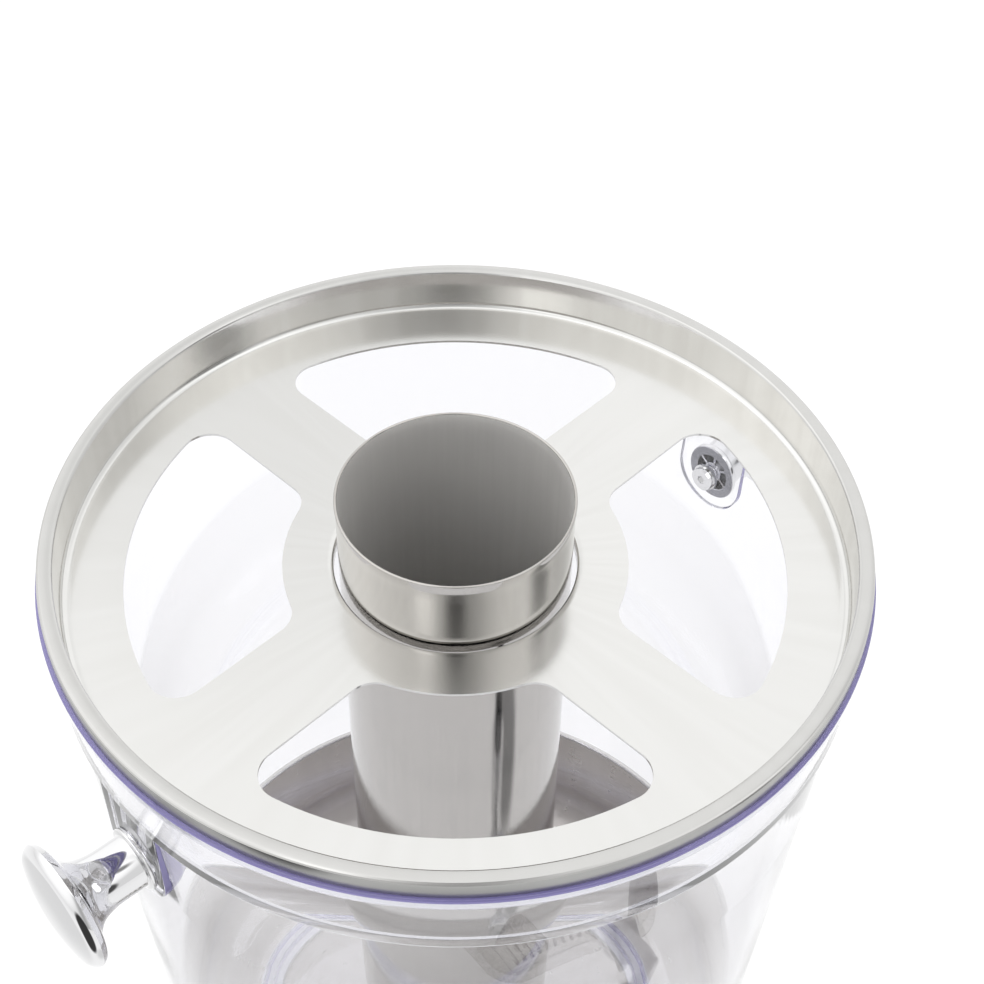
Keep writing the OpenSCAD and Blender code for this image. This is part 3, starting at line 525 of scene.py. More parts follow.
# Lid: pressed pan with a rolled lip, a hole for the tube and four windows

lidSize = {"z": 520, "sheet": 0.8, "hole": 34.85, "wall": 111.5, "lip": 116.1, "depth": 14.25, "hang": 5.75,
           "holeFlat": 2, "wallFlat": 3, "collar": 4, "windows": 4, "windowIn": 49.4, "windowOut": 94.15,
           "arm": 29, "corner": 8.5, "turn": -40.7, "cutter": 6, "edge": 0.16, "margin": 2}


def windowCutter(size, turn):
    # half a window between two arms is drawn and mirrored
    side = size["arm"] / 2 + size["corner"]
    nearR, farR = size["windowIn"] + size["corner"], size["windowOut"] - size["corner"]
    nearU, farU = math.sqrt(nearR ** 2 - side ** 2), math.sqrt(farR ** 2 - side ** 2)
    nearA, farA = 45 + math.degrees(math.asin(side / nearR)), 45 + math.degrees(math.asin(side / farR))
    near = nearR * math.cos(math.radians(nearA)), nearR * math.sin(math.radians(nearA))
    far = farR * math.cos(math.radians(farA)), farR * math.sin(math.radians(farA))
    run = (farU - nearU) * math.sqrt(0.5)
    pen = Pen(0, size["windowIn"]).arc(0, 0, nearA - 90, 8).arc(*near, 135 - nearA, 12).stroke(run, run)
    bm = pen.arc(*far, 45 + farA, 16).arc(0, 0, 90 - farA, 14).mirrored().raised(size["cutter"])
    where = tankAxis @ place(0, 0, size["z"] - size["cutter"] / 2) @ turnZ(turn)
    return makeObject("cutter", bm, where)


def buildLid(size):
    d, s, w, hole, lip = size["depth"], size["sheet"], size["wall"], size["hole"], size["lip"]
    low, flatIn, flatOut = d - size["hang"], hole + size["holeFlat"], w - size["wallFlat"]
    corners = [
        (hole, -size["collar"], 0.2), (hole, 0, s + 0.1), (flatIn, 0), (flatOut, 0), (w, 0, 2), (w, d, 1.2),
        (lip, d, 1.2), (lip, low, 0.25), (lip - s, low, 0.25), (lip - s, d - s, 0.5), (w + s, d - s, 0.4),
        (w + s, -s, 2.6), (flatOut, -s), (flatIn, -s), (hole + s, -s, 0.1), (hole + s, -size["collar"], 0.2)]
    lid = turned("lidPan", corners, 192, tankAxis @ place(0, 0, size["z"]))
    for i in range(size["windows"]):
        combine(lid, "DIFFERENCE", windowCutter(size, size["turn"] + 360 / size["windows"] * i))
    inner, outer = (size["windowIn"] - size["margin"]) * mm, (size["windowOut"] + size["margin"]) * mm

    def onWindow(edge):
        a, b = edge.verts
        return abs(a.co.z - b.co.z) < flatWithin and all(inner < fromAxis(v.co) < outer for v in edge.verts)

    roundEdges(lid, size["edge"], onWindow)
    finish(lid, "lid", "lid_steel", "lidSteel", "lid", sharp=20)
    steep, level = 0.4, 0.5  # a wall's normal points up by less than steep, the lip's top by more than level
    lipTop, lipFace = (size["z"] + d - 1) * mm, (lip - 0.3) * mm
    # painted light: the inner wall gets a brighter copy of the lid's steel with painted blotchy reflections
    paint(lid, "lidWallPaintedLight", lambda at, normal: outward(at, normal) < 0 and abs(normal.z) < steep
          and at.z > size["z"] * mm)
    # painted light: the pan's outer wall under the lip gets a paler copy of the steel
    paint(lid, "lidOuterPaintedLight", lambda at, normal: outward(at, normal) > 0 and abs(normal.z) < steep
          and w * mm < fromAxis(at) < (w + 2) * mm)
    # painted shade: the lip's top gets a darker copy of the lid's steel
    paint(lid, "lidLipPaintedShade", lambda at, normal: at.z > lipTop and normal.z > level)
    # painted shade: the lip's outer face gets a dark copy of the lid's steel
    paint(lid, "lipFacePaintedShade", lambda at, normal: fromAxis(at) > lipFace and abs(normal.z) < level)


buildLid(lidSize)
print("lid done")

# Ice tube: drawn steel with a flared mouth

tubeSize = {"radius": 33.4, "sheet": 0.8, "foot": 277.1, "footHeight": 3, "mouth": 545, "flare": 0.3,
            "flareHeight": 5, "brim": 1}


def buildTube(size):
    r, s, top, foot = size["radius"], size["sheet"], size["mouth"], size["foot"]
    start, out, footTop = top - size["flareHeight"], size["flare"], foot + size["footHeight"]
    corners = [
        (r, foot, 0.3), (r, footTop), (r, start, 1.6), (r + out, top, 0.35),
        (r - s + out, top, 0.35), (r - s, start, 1.6), (r - s, footTop), (r - s, foot, 0.2)]
    tube = turned("iceTube", corners)
    finish(tube, "ice_tube", "polished_steel", "tubeSteel", "tube_shell")
    brimLow = (top - size["brim"]) * mm
    # painted light: the tube's inside gets a lighter, partly diffuse copy of its steel
    paint(tube, "tubeInsidePaintedLight", lambda at, normal: outward(at, normal) < 0 and at.z < brimLow)


buildTube(tubeSize)
print("tube done")

# Tank: clear, with a stepped mouth, knob pads, a tap pad and a foot ring

tankSize = {"foot": 252, "floor": 257, "inside": 259.6, "step": 504, "ledge": 506, "flangeLow": 524.75,
            "flangeTop": 528.5, "violet": 0.85, "wallTop": 113.9, "mouth": 112.6, "band": 115.2,
            "flange": 117.2, "lean": 3, "wall": 2.6, "corner": 24, "loops": (305, 466), "socketBore": 9.3,
            "ringIn": 73.68, "ringOut": 77.68, "ease": 0.6, "easeLow": 0.5, "easeTop": 0.1, "cutIn": 4,
            "cutOver": 3, "knobZ": 480.5, "padRadius": 13, "padRoot": 90, "padFace": 114.27, "padEdge": 0.5,
            "screwBore": 2.3, "screwDrill": (90, 130), "tapZ": 287.6, "tapPad": 15.5, "tapRoot": 88,
            "tapFace": 106.52, "tapBoss": 95.96, "bossSink": 4, "shankBore": 9.3, "shankDrill": (80, 120)}


def buildTank(size):
    slope = math.tan(math.radians(size["lean"]))
    bend = math.tan(math.radians(45 - size["lean"] / 2))
    thick = size["wall"] / math.cos(math.radians(size["lean"]))

    def wallAt(z):
        return size["wallTop"] - slope * (size["step"] - z)

    bore, foot, floor, inside, step = (size[k] for k in ("socketBore", "foot", "floor", "inside", "step"))
    ledge, mouth, band, flange, top = (size[k] for k in ("ledge", "mouth", "band", "flange", "flangeTop"))
    outer = [
        (bore, floor), (size["ringIn"], floor, 0.4), (size["ringIn"], foot, 0.9),
        (size["ringOut"], foot, 0.9), (size["ringOut"], floor, 0.2),
        (wallAt(floor), floor, size["corner"] * bend), *[(wallAt(z), z) for z in size["loops"]],
        (size["wallTop"], step, 0.5), (band, step, 0.4), (band, size["flangeLow"], 0.6),
        (flange, size["flangeLow"], 0.7), (flange, top - size["violet"]), (flange, top, 0.7), (bore, top)]
    core, over, eased = bore - size["cutIn"], top + size["cutOver"], mouth + size["ease"]
    inner = [
        (core, inside), (wallAt(inside) - thick, inside, (size["corner"] - size["wall"]) * bend),
        *[(wallAt(z) - thick, z) for z in size["loops"]], (wallAt(ledge) - thick, ledge, 0.4),
        (mouth, ledge, 0.5), (mouth, top - size["easeLow"]), (eased, top + size["easeTop"]), (eased, over),
        (core, over)]
    tank = turned("clearTank", outer, 192)
    rise, padR, root = ledge - size["knobZ"], size["padRadius"], size["padRoot"]
    for side in (Matrix(), halfTurn):
        pad = Pen(-padR, rise).stroke(0, -rise).arc(0, 0, 180, 24).stroke(0, rise).strokeTo(-padR, rise)
        bm = pad.raised(size["padFace"] - root, size["padEdge"])
        where = tankAxis @ side @ place(root, 0, size["knobZ"]) @ setOnEdge
        combine(tank, "UNION", makeObject("pad", bm, where))
    front = tankAxis @ place(0, 0, size["tapZ"]) @ alongFront
    bossFace = size["tapFace"] - size["bossSink"]
    combine(tank, "UNION", rod("pad", size["tapPad"], size["tapRoot"], size["tapFace"], front, 72))
    combine(tank, "DIFFERENCE", turned("hollow", inner, 192))
    combine(tank, "UNION", rod("boss", size["tapPad"], size["tapBoss"], bossFace, front, 72))
    for side in (Matrix(), halfTurn):
        out = tankAxis @ side @ place(0, 0, size["knobZ"]) @ alongX
        combine(tank, "DIFFERENCE", rod("bore", size["screwBore"], *size["screwDrill"], out, 32))
    combine(tank, "DIFFERENCE", rod("bore", size["shankBore"], *size["shankDrill"], front, 64))
    finish(tank, "tank", "clear_tank", "clearTank", "tank")
    violetLow, ringTop = (top - size["violet"]) * mm, (floor - 0.5) * mm
    padOut, stepOut, stepNear = (size["wallTop"] - 2) * mm, (size["wallTop"] - 0.7) * mm, 0.6 * mm
    inwards, toFront, sideways, under = -0.001, -0.6, 0.3, -0.15  # bounds on the normals of painted faces

    def onEdge(at, normal):
        return fromAxis(at) > mouth * mm and at.z > violetLow and outward(at, normal) > inwards

    def onPad(at, normal):
        return abs(at.x) > padOut and at.z < step * mm and abs(normal.x) < sideways

    def onStep(at, normal):
        return abs(at.z - step * mm) < stepNear and normal.z < under and fromAxis(at) > stepOut

    paint(tank, "tankRing", lambda at, normal: at.z < ringTop and outward(at, normal) > 0)
    paint(tank, "tankEdge", lambda at, normal: onEdge(at, normal) or onPad(at, normal) and normal.y < toFront)
    # painted highlight: the knob pads' other sides and the step's underside get the pale, partly diffuse
    # plastic
    paint(tank, "tankRimPaintedHighlight", lambda at, normal: onPad(at, normal) and normal.y >= toFront or onStep(at, normal))


buildTank(tankSize)
print("tank done")

# Carrying knobs: plated, hollow behind, with ribs to the screw's core

knobSize = {"face": tankSize["padFace"], "z": tankSize["knobZ"], "length": 27.5, "head": 19, "shaft": 8,
            "collar": 9.7, "collarThick": 1.5, "hollow": 12, "wall": 1.5, "core": 3.6, "coreSink": 0.2,
            "screw": 2.05, "screwPast": 2, "rib": 0.9, "ribTurns": (0, 60, 120), "ribIn": 0.3, "ribOut": 0.4,
            "ribLow": 0.6, "ribPast": 0.5,
            # radius, inset from the head or step out from the shaft, then depth from the end and rounding
            "crown": [(5, 0), (11, 0.5, 3)], "rim": [(0.6, 2.2, 2.4), (0, 4.6, 1.6), (1.2, 6.6, 1.4)],
            "neck": [(3.2, 8.2, 3.6), (0, 14, 4.6)]}


def buildKnob(size, side, name, node):
    r, h, end, screw, core = size["shaft"], size["head"], size["length"], size["screw"], size["core"]
    hollow, pilot, sink = size["hollow"], size["hollow"] + size["screwPast"], size["coreSink"]
    collar, thick, inner = size["collar"], size["collarThick"], r - size["wall"]
    corners = [
        (screw, sink, 0.2), (screw, pilot), (0, pilot), (0, end),
        *[(radius, end - depth, *rounding) for radius, depth, *rounding in size["crown"]],
        *[(h - inset, end - depth, rounding) for inset, depth, rounding in size["rim"]],
        *[(r + out, end - depth, rounding) for out, depth, rounding in size["neck"]],
        (r, thick, 0.5), (collar, thick, 0.45), (collar, 0, 0.3), (inner, 0, 0.2),
        (inner, hollow, 0.5), (core, hollow, 0.5), (core, sink, 0.2)]
    where = tankAxis @ side @ place(size["face"], 0, size["z"]) @ alongX
    knob = turned(name, corners, 96, where)
    half, ribTop = size["rib"] / 2, hollow + size["ribPast"]
    for turn in size["ribTurns"]:
        for way in (-1, 1):
            low, high = sorted((way * (core - size["ribIn"]), way * (r - size["ribOut"])))
            rib = box("rib", (low, -half, size["ribLow"]), (high, half, ribTop), where=where @ turnZ(turn))
            combine(knob, "UNION", rib)
    finish(knob, "tank", "plated_metal", "knobPlate", node, sharp=40)


buildKnob(knobSize, Matrix(), "knobRight", "knob_right")
buildKnob(knobSize, halfTurn, "knobLeft", "knob_left")
print("knobs done")

# Stand: cup, column and base, bolted together on one circle

boltSize = {"count": 4, "first": 45, "circle": 41.5, "hole": 3.3}


def drillBolts(made, size, z, start, end):
    for i in range(size["count"]):
        turn = size["first"] + 360 / size["count"] * i
        spot = tankAxis @ turnZ(turn) @ place(size["circle"], 0, z)
        combine(made, "DIFFERENCE", rod("hole", size["hole"], start, end, spot, 32))


cupSize = {"low": 249, "rim": 306, "radius": 104.32, "sheet": 1, "corner": 22, "hole": 24, "beadOut": 2.2,
           "beadTop": 0.7, "beadLow": 1.2, "beadRoot": 1.6, "notch": 18, "notchDrill": (80, 130),
           "notchRise": 60, "tapZ": tankSize["tapZ"], "drill": (-2, 4)}


def buildCup(size):
    r, s, low, rim, hole = size["radius"], size["sheet"], size["low"], size["rim"], size["hole"]
    bead, beadTop = r + size["beadOut"], rim + size["beadTop"]
    corners = [
        (hole, low, 0.2), (r + s, low, size["corner"] + s), (r + s, rim - size["beadRoot"], 0.4),
        (bead, rim - size["beadLow"], 0.4), (bead, beadTop, 0.9), (r, beadTop, 0.9),
        (r, low + s, size["corner"]), (hole, low + s, 0.2)]
    cup = turned("standCup", corners, 176)
    front = tankAxis @ place(0, 0, size["tapZ"])
    n, (start, end) = size["notch"], size["notchDrill"]
    combine(cup, "DIFFERENCE", rod("notch", n, start, end, front @ alongFront, 72))
    combine(cup, "DIFFERENCE", box("notch", (-n, -end, 0), (n, -start, size["notchRise"]), where=front))
    drillBolts(cup, boltSize, low, *size["drill"])
    finish(cup, "stand", "satin_steel", "cupOuter", "tank_cup")
    upward, upright = 0.7, -0.1  # bounds on the normals of the cup's floor and inner wall
    # painted shade and light: the cup's floor and inner wall get a browner, partly diffuse copy of its steel
    paint(cup, "cupInsideLitAndShaded", lambda at, normal: at.z < rim * mm
          and (normal.z > upward or normal.z > upright and outward(at, normal) < 0))


buildCup(cupSize)

columnSize = {"low": 32, "top": cupSize["low"], "radius": 55, "wall": 1.5, "flangeIn": 29.5, "flange": 3,
              "drillPast": 3}


def buildColumn(size):
    r, i, f = size["radius"], size["radius"] - size["wall"], size["flange"]
    low, top, inner, past = size["low"], size["top"], size["flangeIn"], size["drillPast"]
    corners = [
        (inner, low, 0.3), (r, low, 0.4), (r, top, 0.4), (inner, top, 0.3), (inner, top - f, 0.3),
        (i, top - f, 1), (i, low + f, 1), (inner, low + f, 0.3)]
    column = turned("standColumn", corners, 144)
    drillBolts(column, boltSize, low, -past, top - low + past)
    finish(column, "stand", "polished_steel", "columnSteel", "column")


buildColumn(columnSize)

baseSize = {"low": 9.5, "top": columnSize["low"], "back": 118, "axisY": tankY, "front": -178,
            "frontCorner": 45, "sheet": 1.2, "edge": 3.2, "trayY": -106, "openW": 183, "openD": 111,
            "openCorner": 10.5, "openCut": 40, "cutOver": 1, "pillar": 5, "footInset": 12, "footRadius": 10,
            "footScrew": 2.05, "pilot": 14, "drill": (-4, 4)}


def baseOutline(size, inset):
    r, f = size["back"] - inset, size["frontCorner"] - inset
    y = size["front"] + size["frontCorner"]
    pen = Pen(r, size["axisY"]).arc(0, size["axisY"], 180, 72).strokeTo(-r, y).arc(f - r, y, 90, 16)
    return pen.strokeTo(r - f, y - f).arc(r - f, y, 90, 16).strokeTo(r, size["axisY"])


def buildBase(size):
    low, top, sheet, over = size["low"], size["top"], size["sheet"], size["cutOver"]
    high = top - low
    base = makeObject("standBase", baseOutline(size, 0).raised(high, size["edge"]), place(0, 0, low))
    hollow = baseOutline(size, sheet).raised(high - sheet + over, size["edge"] - sheet)
    combine(base, "DIFFERENCE", makeObject("hollow", hollow, place(0, 0, low - over)))
    window = roundedPlate(size["openW"], size["openD"], size["openCorner"], size["openCut"])
    combine(base, "DIFFERENCE", makeObject("window", window, place(0, size["trayY"], low)))
    drillBolts(base, boltSize, top, *size["drill"])
    reach = size["back"] - size["footInset"]
    spots = [place(s * reach, size["front"] + size["frontCorner"], 0) for s in (-1, 1)]
    spots += [tankAxis @ turnZ(90 - s * 45) @ place(reach - size["footRadius"], 0, 0) for s in (-1, 1)]
    pilot = low - over, low + size["pilot"]
    for spot in spots:
        combine(base, "UNION", rod("pillar", size["pillar"], low, top - sheet / 2, spot, 32))
        combine(base, "DIFFERENCE", rod("pilot", size["footScrew"], *pilot, spot, 24))
    finish(base, "stand", "satin_steel", "baseSteel", "base_shell")


buildBase(baseSize)
print("stand done")

# Drip tray and its slotted grille

traySize = {"y": baseSize["trayY"], "width": 190, "depth": 118, "corner": 14, "rim": 4, "rimEdge": 0.35,
            "rimLow": baseSize["top"], "top": 32.8, "low": 17.8, "floor": 18.6, "sheet": 0.8, "lap": 0.3,
            "cut": 20, "floorRound": 1.6, "lowRound": 2.2}


def buildTray(size):
    rim, s, low, floor, rimLow = size["rim"], size["sheet"], size["low"], size["floor"], size["rimLow"]
    w, d, c = size["width"] - 2 * rim, size["depth"] - 2 * rim, size["corner"] - rim
    here = place(0, size["y"], 0)
    plate = roundedPlate(size["width"], size["depth"], size["corner"], size["top"] - rimLow, size["rimEdge"])
    tray = makeObject("dripTray", plate, here @ place(0, 0, rimLow))
    bowl = roundedPlate(w, d, c, rimLow - low + size["lap"])
    combine(tray, "UNION", makeObject("bowl", bowl, here @ place(0, 0, low)))
    inside = roundedPlate(w - 2 * s, d - 2 * s, c - s, size["cut"])
    combine(tray, "DIFFERENCE", makeObject("inside", inside, here @ place(0, 0, floor)))
    roundEdges(tray, size["floorRound"], lambda e: atHeight(e, floor), 4)
    roundEdges(tray, size["lowRound"], lambda e: atHeight(e, low), 4)
    finish(tray, "drip_tray", "satin_steel", "traySteel", "drip_tray")


buildTray(traySize)

grilleSize = {"y": traySize["y"], "width": 179.4, "depth": 107.4, "corner": 8.7, "top": traySize["top"],
              "floor": traySize["floor"], "fold": 5, "edge": 0.9, "sheet": 1, "under": 10, "underEdge": 0.4,
              "slot": 5, "slotCut": 4, "slotLow": 2.5, "slotEdge": 0.3, "pitch": 11, "land": 9, "steps": 7,
              "border": 6, "leg": 14, "legGap": 0.05, "legTop": 2.6, "legEdge": 0.2}


def buildGrille(size):
    here = place(0, size["y"], 0)
    w, d, s, top, c = size["width"], size["depth"], size["sheet"], size["top"], size["corner"]
    plate = roundedPlate(w, d, c, size["fold"], size["edge"])
    grille = makeObject("dripGrille", plate, here @ place(0, 0, top - size["fold"]))
    under = roundedPlate(w - 2 * s, d - 2 * s, c - s, size["under"], size["underEdge"])
    combine(grille, "DIFFERENCE", makeObject("under", under, here @ place(0, 0, top - s - size["under"])))
    long = (d - 3 * size["land"]) / 2
    for row in (-1, 1):
        for i in range(-size["steps"], size["steps"] + 1):
            slot = roundedPlate(size["slot"], long, size["slot"] / 2 - tiny, size["slotCut"])
            y = row * (long + size["land"]) / 2
            spot = here @ place(i * size["pitch"], y, top - size["slotLow"])
            combine(grille, "DIFFERENCE", makeObject("slot", slot, spot))
    insetX, insetY = (w / 2 - size["border"]) * mm, (d / 2 - size["border"]) * mm

    def onSlot(edge):
        return atHeight(edge, top) and all(
            abs(v.co.x) < insetX and abs(v.co.y - size["y"] * mm) < insetY for v in edge.verts)

    roundEdges(grille, size["slotEdge"], onSlot)
    half, low, high = size["leg"] / 2, size["floor"] + size["legGap"], top - size["legTop"]
    for x in (-1, 1):
        for y in (-1, 1):
            side, edge = x * (w - 2 * s) / 4, y * (d - s) / 2
            leg = box("leg", (side - half, edge - s / 2, low), (side + half, edge + s / 2, high),
                      size["legEdge"], here)
            combine(grille, "UNION", leg)
    finish(grille, "drip_grille", "satin_steel", "traySteel", "drip_grille")


buildGrille(grilleSize)
print("tray done")

# Tap: body with its shank and flange, spout, bonnet and lever

tapSize = {"axis": 150.02, "z": tankSize["tapZ"], "shankEnd": 83.96, "shank": 9, "flangeFace": 108.52,
           "flange": 20, "flangeThick": 3, "neck": 11, "neckShort": 4, "bore": 6, "way": (20, 3),
           "chamber": 14, "chamberBore": 10.5, "low": 268.6, "seat": 273.6, "top": 307.6, "room": 3,
           "skin": 1, "collar": 0.8, "collarRoot": 5, "collarLow": 4.2, "pressFit": 0.05, "spout": 9,
           "spoutBore": 6.5, "spoutEnd": 237.6, "taper": 0.8, "taperHeight": 5, "spoutBelow": 3,
           "bonnetLow": 308.6, "bonnetTop": 316.6, "bonnet": 15, "cone": 2, "plugLow": 302.6, "stem": 3.05,
           "flutes": 24, "flute": 0.9, "fluteOut": 0.3, "fluteRise": 1}


def buildTapBody(size, front, down):
    face, back = size["flangeFace"], size["flangeFace"] + size["flangeThick"]
    neck, neckEnd = size["neck"], size["axis"] - size["neckShort"]
    shank = [
        (size["bore"], size["shankEnd"], 0.4), (size["shank"], size["shankEnd"], 0.8), (size["shank"], face),
        (size["flange"], face, 0.3), (size["flange"], back, 1.2), (neck, back, 4), (neck, neckEnd),
        (size["bore"], neckEnd)]
    tap = turned("tapBody", shank, 96, front)
    low, top, seat, r, bore = size["low"], size["top"], size["seat"], size["chamber"], size["chamberBore"]
    hole, collar = size["spout"] + size["pressFit"], r + size["collar"]
    chamber = [
        (hole, low, 0.2), (r, low, 2.4), (r, top - size["collarRoot"], 0.4),
        (collar, top - size["collarLow"], 0.4), (collar, top, 0.4), (bore, top, 0.3), (bore, seat),
        (hole, seat)]
    roomLow, roomTop, roomR = low + size["room"], top - size["room"], r - size["skin"]
    room = [(0, roomLow), (roomR, roomLow), (roomR, roomTop), (0, roomTop)]
    combine(tap, "DIFFERENCE", turned("room", room, 96, down))
    combine(tap, "UNION", turned("chamber", chamber, 96, down))
    wayStart, wayEnd = (size["axis"] - before for before in size["way"])
    combine(tap, "DIFFERENCE", rod("way", size["bore"], wayStart, wayEnd, front, 48))
    finish(tap, "tank", "plated_metal", "tapPlate", "tap_body")


def buildSpout(size, down):
    end, out, way, seat = size["spoutEnd"], size["spout"], size["spoutBore"], size["seat"]
    corners = [
        (way, end, 0.5), (out - size["taper"], end, 0.6), (out, end + size["taperHeight"], 1),
        (out, size["low"] - size["spoutBelow"], 0.5), (out, seat, 0.3), (way, seat, 0.4)]
    finish(turned("tapSpout", corners, 80, down), "tank", "plated_metal", "tapPlate", "tap_spout")


def buildBonnet(size, down):
    b, low, top, stem = size["bonnet"], size["bonnetLow"], size["bonnetTop"], size["stem"]
    plug, cone = size["chamberBore"] - size["pressFit"], size["cone"]
    corners = [
        (stem, size["plugLow"], 0.3), (plug, size["plugLow"], 0.6), (plug, low, 0.1), (b, low, 0.4),
        (b, top - cone, 0.8), (b - cone, top, 0.8), (stem, top, 0.3)]
    bonnet = turned("tapBonnet", corners, 96, down)
    start, end = low + size["fluteRise"], top + size["fluteRise"]
    for k in range(size["flutes"]):  # grip flutes round the bonnet
        spot = down @ turnZ(360 * k / size["flutes"]) @ place(b + size["fluteOut"], 0, 0)
        combine(bonnet, "DIFFERENCE", rod("flute", size["flute"], start, end, spot, 16))
    finish(bonnet, "tank", "plated_metal", "tapPlate", "tap_bonnet")


tapDown = tankAxis @ place(0, -tapSize["axis"], 0)
buildTapBody(tapSize, tankAxis @ place(0, 0, tapSize["z"]) @ alongFront, tapDown)
buildSpout(tapSize, tapDown)
buildBonnet(tapSize, tapDown)

leverSize = {"y": -90.02, "z": 323.4, "cam": 6.5, "camStart": (-4, -6.5), "camCentre": (-3.13, 1.95),
             "camTurn": -100, "cheek": 4, "cheekX": 4.3, "cheekSink": 0.6, "bridge": 7.5, "bridgeTop": 13.5,
             "bridgeEdge": 1, "depth": 14, "length": 64, "grip": 9, "neck": 5.5, "sink": 1, "pin": 2.05,
             "pinDrill": 20,
             # step out from the neck, rise over the bridge, rounding
             "root": [(1.6, -1, 0.4), (1.2, 1), (0, 12, 6)],
             # step in from the grip, depth from its end, rounding
             "end": [(0.6, 16, 6), (0, 9, 3.5), (1.5, 1.5, 4), (5, 0, 2.5)]}


def buildLever(size):
    where = place(0, size["y"], size["z"])
    half, top, x, length = size["depth"] / 2, size["bridgeTop"], size["cheekX"], size["length"]
    neck, g = size["neck"], size["grip"]
    grip = [
        (0, top - size["sink"]),
        *[(neck + out, top + rise, *rounding) for out, rise, *rounding in size["root"]],
        *[(g - inset, length - depth, rounding) for inset, depth, rounding in size["end"]], (0, length)]
    lever = turned("tapLever", grip, 72, where)
    width, cheekTop = x + size["cheek"], top - size["cheekSink"]
    bridge = box("bridge", (-width, -half, size["bridge"]), (width, half, top), size["bridgeEdge"], where)
    combine(lever, "UNION", bridge)
    for side in (-width, x):
        pen = Pen(*size["camStart"]).arc(*size["camCentre"], size["camTurn"], 20).strokeTo(-half, cheekTop)
        pen.strokeTo(half, cheekTop).strokeTo(size["cam"], 0).arc(0, 0, -90, 10).strokeTo(*size["camStart"])
        cheek = makeObject("cheek", pen.raised(size["cheek"]), where @ place(side, 0, 0) @ setOnEdge)
        combine(lever, "UNION", cheek)
    drill = size["pinDrill"]
    combine(lever, "DIFFERENCE", rod("pin", size["pin"], -drill, drill, where @ alongX, 32))
    finish(lever, "tap_lever", "black_plastic", "leverPlastic", "tap_handle")


buildLever(leverSize)
print("tap done")

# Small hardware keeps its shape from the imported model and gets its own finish

hardware = {
    "screwSteel": ["feet_screws", "column_bolts", "column_nuts", "cup_bolts", "cup_nuts", "tap_nut",
                   "tube_stud", "tap_pin", "base_plate"],
    "knobPlate": ["knob_screws", "knob_washers"],
    "tubeSteel": ["tube_base"],
    "tapPlate": ["tube_socket", "socket_nut", "tap_stem", "tap_spring"],
    "footRubber": ["rubber_feet", "bonnet_seal"],
    "sealSilicone": ["cup_pad", "socket_gasket", "tap_washer_outer", "tap_washer_inner", "tap_seat_cup",
                     "tube_seal"],
}
for finishName, names in hardware.items():
    for name in names:
        nodes[name].data.materials.clear()
        nodes[name].data.materials.append(finishes[finishName])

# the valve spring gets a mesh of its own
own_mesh(nodes["tap_spring"])
print("hardware done")

# Studio: pale floor, white surroundings, soft lamps, camera

floorSize = {
    "half": 6, "pale": 0.9, "rough": 0.8, "glow": 0.8,
    "paintedShade": [  # painted shade seen only in mirrors or through the tank: in what it shows, spot, reach, core and strength
        ("mirrored", (-0.28, -0.27, 0), 0.25, 0.08, 0.35),
        ("mirrored", (-0.52, 0.42, 0), 0.45, 0.15, 0.3),
        ("through", (0.079, -0.30, 0), 0.085, 0.05, 0.92)],
}


